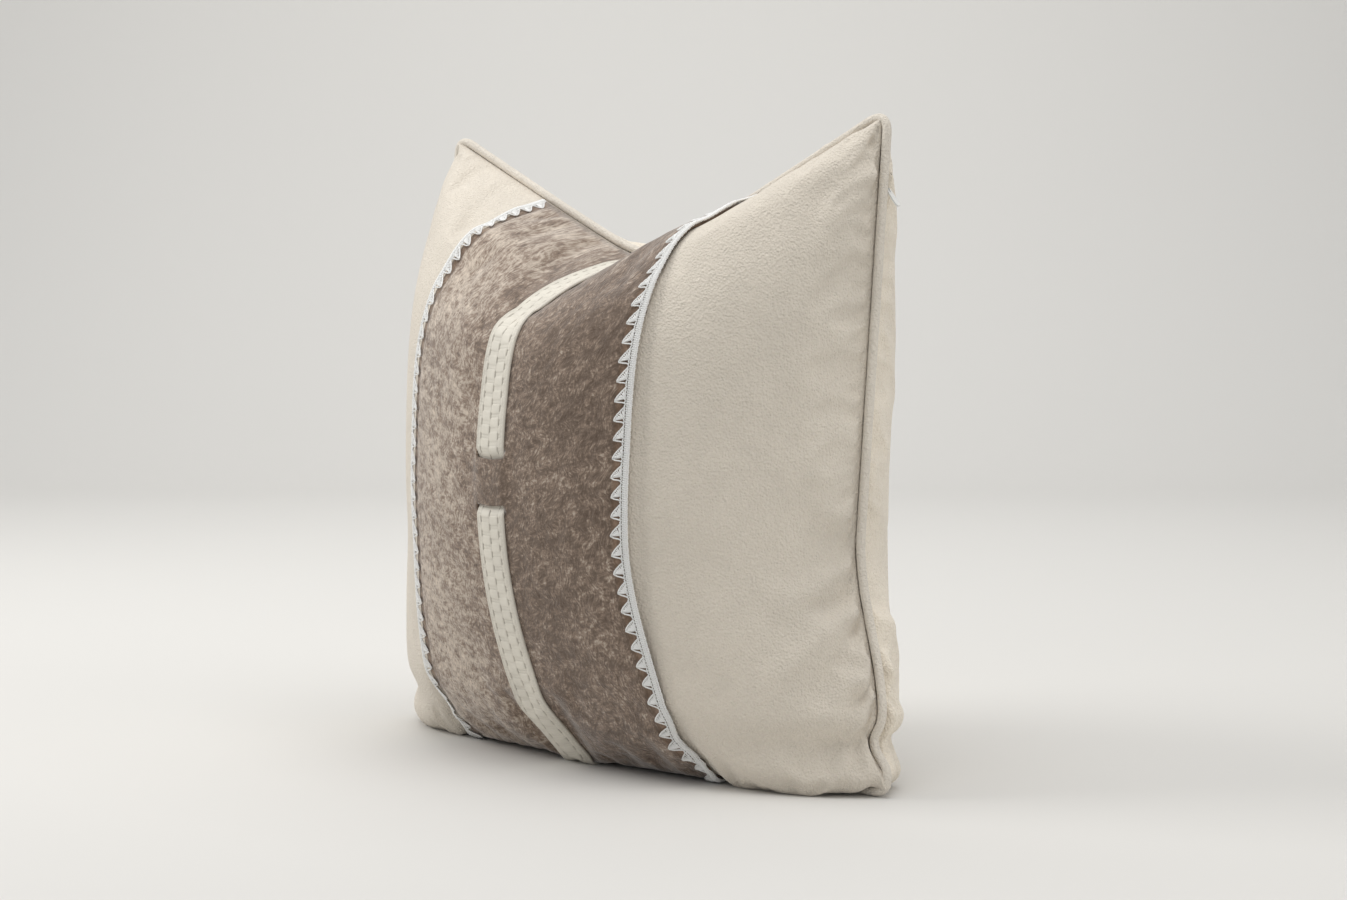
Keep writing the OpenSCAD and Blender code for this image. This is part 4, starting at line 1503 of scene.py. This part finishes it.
def make_strap():
    """The strap, which runs over the felt and goes under it between the slits."""
    form = cover_form()
    surface = cover_surface(FRONT)
    strap = setting("strap")
    band = setting("band")
    v, along = surface.rows_by_length(0.0, STRAP_STEP)
    across = np.linspace(-1, 1, STRAP_COLUMNS + 1)
    p, v = np.broadcast_arrays(across[None, :] * form.strap_half, v[:, None])
    x = across[None, :] * strap.width / 2 + 0 * v
    distance = along[:, None] + 0 * x
    relief, crease, wear = strap_relief(x, distance)
    over = band.felt_t + 2 * LAYER_GAP
    sunk = strap_sunk(form, v)
    base = blend(over, LAYER_GAP, sunk) * pressed(v)
    thick = (strap.thickness - 0.5 * MM) * pressed(v) * blend(1, 0.8, sunk)
    outer = surface.lifted(p, v, base + thick + relief * blend(1, 0.4, sunk))
    skip = STRAP_COLUMNS // 4
    inner = surface.lifted(p[:, ::skip], v[:, ::skip], base[:, ::skip])
    uv = np.stack([x, distance], axis=-1)
    piece = make_sheet(
        "woven_strap_leather", outer, inner, FRONT, skip, None, uv, {"crease": crease, "wear": wear}
    )
    sew_on(piece, "woven_strap", strap_leather("strap_leather"))
    return piece


# ---------------------------------------------------------------- piping

PIPING_STEP = 1.6 * MM
PIPING_SIDES = 20
CORD_SIDES = 18
CORD_LAY = 24 * MM
PATH_POINTS = 241
BEND_POINTS = 24
JOIN_FROM_CORNER = 62 * MM
JOIN_LONG = 11 * MM
TOWARDS_FRONT = np.array([0.0, -1.0, 0.0])


def seam_path(form, step):
    """The piping's closed line in the seam plane, as even points, from the lower right upwards."""
    s = form.s
    piping = setting("piping")
    low = piping.radius + piping.corner_r
    high = s.corner_h - piping.corner_r

    def on_side(z, sign):
        return np.stack([sign * form.side_x(z), z], axis=-1)

    def bend(a, corner, b):
        t = np.linspace(0, 1, BEND_POINTS)[1:-1, None]
        return (1 - t) ** 2 * a + 2 * t * (1 - t) * np.array(corner) + t * t * b

    wide = form.side_x(s.corner_h)
    x = np.linspace(1, -1, PATH_POINTS) * (wide - piping.corner_r)
    top = np.stack([x, form.top_z(x / wide)], axis=-1)
    z = np.linspace(low, high, PATH_POINTS)
    right = on_side(z, 1)
    left = on_side(z[::-1], -1)
    foot_half = form.side_x(np.array(piping.radius))
    x = np.linspace(-1, 1, PATH_POINTS) * (foot_half - piping.corner_r)
    foot = np.stack([x, np.full_like(x, piping.radius)], axis=-1)
    parts = [
        right,
        bend(right[-1], (wide, s.corner_h), top[0]),
        top,
        bend(top[-1], (-wide, s.corner_h), left[0]),
        left,
        bend(left[-1], (-foot_half, piping.radius), foot[0]),
        foot,
        bend(foot[-1], (foot_half, piping.radius), right[0]),
    ]
    flat = np.vstack(parts)
    closed = np.vstack([flat, flat[:1]])
    along = lengths_along(closed)
    count = round(along[-1] / step)
    at = np.arange(count) * along[-1] / count
    x = np.interp(at, along, closed[:, 0])
    z = np.interp(at, along, closed[:, 1])
    return np.stack([x, form.seam_y + s.lean * z, z], axis=-1), at


def make_piping():
    """The piping: suede on the bias round a cord, with soft puckers and one lapped join."""
    form = cover_form()
    piping = setting("piping")
    line, along = seam_path(form, PIPING_STEP)
    turn = np.arange(PIPING_SIDES) * 2 * math.pi / PIPING_SIDES
    pucker = lattice_noise(along[:, None], turn[None, :] * 3 * MM, 7 * MM, 31)
    ripple = lattice_noise(along[:, None] + turn[None, :] * 2 * MM, 0 * turn[None, :], 4 * MM, 32)
    corner = np.array([form.side_x(form.s.corner_h), form.s.corner_h])
    to_corner = np.linalg.norm(line[:, [0, 2]] - corner, axis=1)
    past_corner = (line[:, 0] < corner[0] - 20 * MM) & (line[:, 0] > 0)
    from_join = np.where(past_corner, to_corner - JOIN_FROM_CORNER, 1.0)
    lap = ease(from_join / (1.2 * MM) + 0.5) * ease((JOIN_LONG - from_join) / (7 * MM))
    radius = piping.radius * 0.965 + 0.09 * MM * pucker + 0.05 * MM * ripple
    radius = radius + (0.42 * MM * lap)[:, None]
    tubes = Tubes()
    tubes.add(line, TOWARDS_FRONT, radius, PIPING_SIDES, True, along)
    piece = tubes.piece("piping_suede")
    sew_on(piece, "piping_sleeve", suede("piping_suede", tuple(piping.suede), 1.15))
    return piece


def make_piping_cord():
    """The cord inside the piping: three strands laid together."""
    form = cover_form()
    piping = setting("piping")
    line, along = seam_path(form, 2 * PIPING_STEP)
    turn = np.arange(CORD_SIDES) * 2 * math.pi / CORD_SIDES
    turns = round(along[-1] / CORD_LAY)
    phase = along / (along[-1] + 2 * PIPING_STEP) * turns * 2 * math.pi
    lobes = np.abs(np.cos(1.5 * (turn[None, :] + phase[:, None])))
    radius = piping.cord_r * (0.84 + 0.15 * lobes)
    tubes = Tubes()
    tubes.add(line, TOWARDS_FRONT, radius, CORD_SIDES, True, along)
    piece = tubes.piece("piping_cord_cotton")
    sew_on(piece, "piping_cord", thread("piping_cord_cotton", tuple(piping.cord), 500.0))
    return piece


# ---------------------------------------------------------------- zip

COIL_R = 0.8 * MM
COIL_END = 0.5 * MM
TURN_POINTS = 9


def make_coil(node):
    """A zip coil: wire wound along the line that the frame gives it."""
    zip_values = setting("zip")
    form = cover_form()
    up = Vector((form.s.side_slope, form.s.lean, 1.0)).normalized()
    points = np.array([v.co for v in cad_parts[node].data.vertices])
    heights = points @ np.array(up)
    bottom = points[heights < heights.min() + COIL_END].mean(axis=0)
    top = points[heights > heights.max() - COIL_END].mean(axis=0)
    coil_r = COIL_R - zip_values.wire_r
    long = np.linalg.norm(top - bottom) - 2 * zip_values.wire_r
    turns = round(long / zip_values.coil_pitch)
    t = np.linspace(0, 1, turns * TURN_POINTS + 1)
    angle = t * turns * 2 * math.pi
    axis = unit(top - bottom)
    side_a = unit(np.cross(axis, np.array([0.0, 1.0, 0.0])))
    side_b = np.cross(axis, side_a)
    centre = bottom + axis * (zip_values.wire_r + t * long)[:, None]
    spoke = side_a * np.cos(angle)[:, None] + side_b * np.sin(angle)[:, None]
    tubes = Tubes()
    tubes.add(centre + spoke * coil_r, axis, zip_values.wire_r, 5)
    piece = tubes.piece(node + "_wire")
    sew_on(piece, node, nylon(node + "_nylon"))
    return piece


def finish_zip_nodes():
    """Gives the zip's tapes, stops, slider and pull their finishes."""
    tape = woven("zip_tape_weave", tuple(setting("zip").tape), 2400.0)
    metal = enamel("zip_enamel")
    plastic = nylon("zip_stop_nylon")
    finishes = {
        "zip_tape_front": tape,
        "zip_tape_back": tape,
        "zip_top_stop": plastic,
        "zip_bottom_stop": plastic,
        "zip_slider": metal,
        "zip_pull": metal,
    }
    for node, material in finishes.items():
        dress(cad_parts[node], material)


# ---------------------------------------------------------------- insert

INSERT_CELLS = 90
LUMP_CELL = 35 * MM
LUMP_HEIGHT = 2 * MM


def insert_grid(form, side, offset):
    """A layer of the insert, from the cover's form, set in from its seams."""
    insert = setting("insert")
    cut = form.s.skin_t + insert.gap
    p = np.linspace(-1, 1, INSERT_CELLS + 1)[None, :]
    v = np.linspace(0, 1, INSERT_CELLS + 1)[:, None]
    grid = form.point(p, v, side, insert.margin, cut, cut)
    return grid + grid_normals(grid, side) * offset


def make_casing(side):
    """Half of the insert's cotton casing."""
    form = cover_form()
    insert = setting("insert")
    name = "insert_casing_front" if side == FRONT else "insert_casing_back"
    outer = insert_grid(form, side, 0.0)
    piece = make_sheet(name + "_cotton", outer, insert_grid(form, side, -insert.casing_t), side)
    sew_on(piece, name, woven(name + "_cotton", tuple(insert.lining), 1600.0))
    return piece


def make_filling():
    """The insert's filling, as one lumpy closed form."""
    form = cover_form()
    insert = setting("insert")
    depth = insert.casing_t + 2 * LAYER_GAP
    grids = []
    for side in (FRONT, BACK):
        grid = insert_grid(form, side, -depth)
        normals = grid_normals(grid, side)
        lump = 1 + lattice_noise(grid[..., 0], grid[..., 2], LUMP_CELL, 41 + side)
        seam = grid_edge_distance(*grid.shape[:2])
        grids.append(grid - normals * (LUMP_HEIGHT * lump * seam)[..., None])
    points, faces = closed_cover(*grids)
    piece = make_piece("insert_filling_fibre", points, faces)
    sew_on(piece, "insert_filling", filling_fibre("filling_fibre"))
    return piece


def grid_edge_distance(rows, columns):
    """0 on a grid's edge, and 1 from the sixth cell in."""
    i = np.minimum(np.arange(columns), np.arange(columns)[::-1])
    j = np.minimum(np.arange(rows), np.arange(rows)[::-1])
    return np.clip(np.minimum(i[None, :], j[:, None]) / 6, 0, 1)


# ---------------------------------------------------------------- stage

SWEEP_NEAR = -6.0
SWEEP_FAR = 2.6
SWEEP_R = 1.2
SWEEP_HALF_W = 7.0
SWEEP_STEPS = 24
WALL_H = 5.0
CAMERA_DIP = 0.064


def make_stage():
    """A seamless pale floor and backdrop, soft lights and the camera."""
    stage = setting("stage")
    form = cover_form()
    scene = bpy.context.scene
    scene.view_settings.view_transform = "Standard"
    view = Vector((-1.0, 1.0, 0.0)).normalized()
    side = Vector((1.0, 1.0, 0.0)).normalized()
    profile = [(SWEEP_NEAR, 0.0), (SWEEP_FAR, 0.0)]
    for k in range(1, SWEEP_STEPS + 1):
        angle = k / SWEEP_STEPS * math.pi / 2
        out = SWEEP_FAR + SWEEP_R * math.sin(angle)
        profile.append((out, SWEEP_R * (1 - math.cos(angle))))
    profile.append((SWEEP_FAR + SWEEP_R, WALL_H))
    points, faces = [], []
    for reach, z in profile:
        for sign in (-1, 1):
            place = view * reach + side * (sign * SWEEP_HALF_W)
            points.append((place.x, place.y, z))
    for k in range(len(profile) - 1):
        faces.append((2 * k, 2 * k + 1, 2 * k + 3, 2 * k + 2))
    floor = make_piece("studio_sweep", points, faces)
    dress(floor, studio("studio_paint", tuple(stage.floor)))
    world = bpy.data.worlds.new("studio_light")
    world.use_nodes = True
    background = world.node_tree.nodes["Background"]
    background.inputs["Color"].default_value = (0.96, 0.98, 1.0, 1)
    background.inputs["Strength"].default_value = stage.sky
    scene.world = world
    aim = Vector((0.0, 0.0, 0.25))
    add_light("key_light", (-1.7, -1.5, 1.8), aim, 1.3, stage.key, (1.0, 0.985, 0.96))
    add_light("top_light", (0.4, -0.3, 2.6), aim, 2.0, stage.top, (1.0, 0.99, 0.975))
    add_light("fill_light", (2.4, 0.5, 1.3), aim, 1.8, stage.fill, (1.0, 0.97, 0.93))
    wall_aim = Vector((-2.6, 2.6, 1.0))
    add_light("wall_light", (-1.2, 1.2, 3.0), wall_aim, 2.5, stage.wall, (1.0, 0.995, 0.98))
    camera = bpy.data.objects.new("camera", bpy.data.cameras.new("camera"))
    camera.data.lens = stage.lens
    camera.data.sensor_width = 36.0
    camera.location = (stage.distance_x, form.seam_y - stage.distance_y, stage.height)
    camera.rotation_euler = (math.radians(90) - CAMERA_DIP, 0.0, math.radians(45))
    scene.collection.objects.link(camera)
    scene.camera = camera


def add_light(name, place, aim, width, power, tone):
    """A square soft box that looks at a point."""
    lamp = bpy.data.lights.new(name, "AREA")
    lamp.size = width
    lamp.energy = power
    lamp.color = tone
    light = bpy.data.objects.new(name, lamp)
    light.location = place
    light.rotation_euler = (aim - Vector(place)).to_track_quat("-Z", "Y").to_euler()
    bpy.context.scene.collection.objects.link(light)


# ---------------------------------------------------------------- operators


class BuildStage(bpy.types.Operator):
    """Make the floor, the backdrop, the lights and the camera"""

    bl_idname = "pillow.stage"
    bl_label = "Stage"

    def execute(self, context):
        make_stage()
        return {"FINISHED"}


class BuildPanels(bpy.types.Operator):
    """Make the front and back panels of the cover"""

    bl_idname = "pillow.panels"
    bl_label = "Cover panels"

    def execute(self, context):
        make_panel(FRONT)
        make_panel(BACK)
        return {"FINISHED"}


class BuildBand(bpy.types.Operator):
    """Make the felt band"""

    bl_idname = "pillow.band"
    bl_label = "Felt band"

    def execute(self, context):
        make_felt()
        return {"FINISHED"}


class BuildTrims(bpy.types.Operator):
    """Make the crochet trims"""

    bl_idname = "pillow.trims"
    bl_label = "Crochet trims"

    def execute(self, context):
        make_trim(-1)
        make_trim(1)
        return {"FINISHED"}


class BuildStrap(bpy.types.Operator):
    """Make the woven strap"""

    bl_idname = "pillow.strap"
    bl_label = "Woven strap"

    def execute(self, context):
        make_strap()
        return {"FINISHED"}


class BuildPiping(bpy.types.Operator):
    """Make the piping and the cord inside it"""

    bl_idname = "pillow.piping"
    bl_label = "Piping"

    def execute(self, context):
        make_piping()
        make_piping_cord()
        return {"FINISHED"}


class BuildZip(bpy.types.Operator):
    """Wind the zip's coils and finish its tapes, stops, slider and pull"""

    bl_idname = "pillow.zip"
    bl_label = "Zip"

    def execute(self, context):
        make_coil("zip_coil_front")
        make_coil("zip_coil_back")
        finish_zip_nodes()
        return {"FINISHED"}


class BuildInsert(bpy.types.Operator):
    """Make the insert's casing and filling"""

    bl_idname = "pillow.insert"
    bl_label = "Insert"

    def execute(self, context):
        make_casing(FRONT)
        make_casing(BACK)
        make_filling()
        return {"FINISHED"}


OPERATORS = (
    BuildStage,
    BuildPanels,
    BuildBand,
    BuildTrims,
    BuildStrap,
    BuildPiping,
    BuildZip,
    BuildInsert,
)


class PillowPanel(bpy.types.Panel):
    """Lists the pillow's pieces and their settings"""

    bl_idname = "VIEW3D_PT_pillow"
    bl_label = "Throw pillow"
    bl_space_type = "VIEW_3D"
    bl_region_type = "UI"
    bl_category = "Pillow"

    def draw(self, context):
        for operator in OPERATORS:
            self.layout.operator(operator.bl_idname)
        for group, kind in GROUPS.items():
            box = self.layout.box()
            box.label(text=group.title())
            values = getattr(context.scene, "pillow_" + group)
            for key in kind.__annotations__:
                box.prop(values, key)


def register():
    """Makes the settings, the operators and the panel known."""
    for group, kind in GROUPS.items():
        bpy.utils.register_class(kind)
        setattr(bpy.types.Scene, "pillow_" + group, PointerProperty(type=kind))
    for kind in (*OPERATORS, PillowPanel):
        bpy.utils.register_class(kind)


def unregister():
    """Takes back what register did."""
    for kind in (PillowPanel, *reversed(OPERATORS)):
        bpy.utils.unregister_class(kind)
    for group, kind in GROUPS.items():
        delattr(bpy.types.Scene, "pillow_" + group)
        bpy.utils.unregister_class(kind)


def main():
    """Builds the stage and every piece."""
    register()
    for operator in OPERATORS:
        group, name = operator.bl_idname.split(".")
        getattr(getattr(bpy.ops, group), name)()


if __name__ == "__main__":
    main()
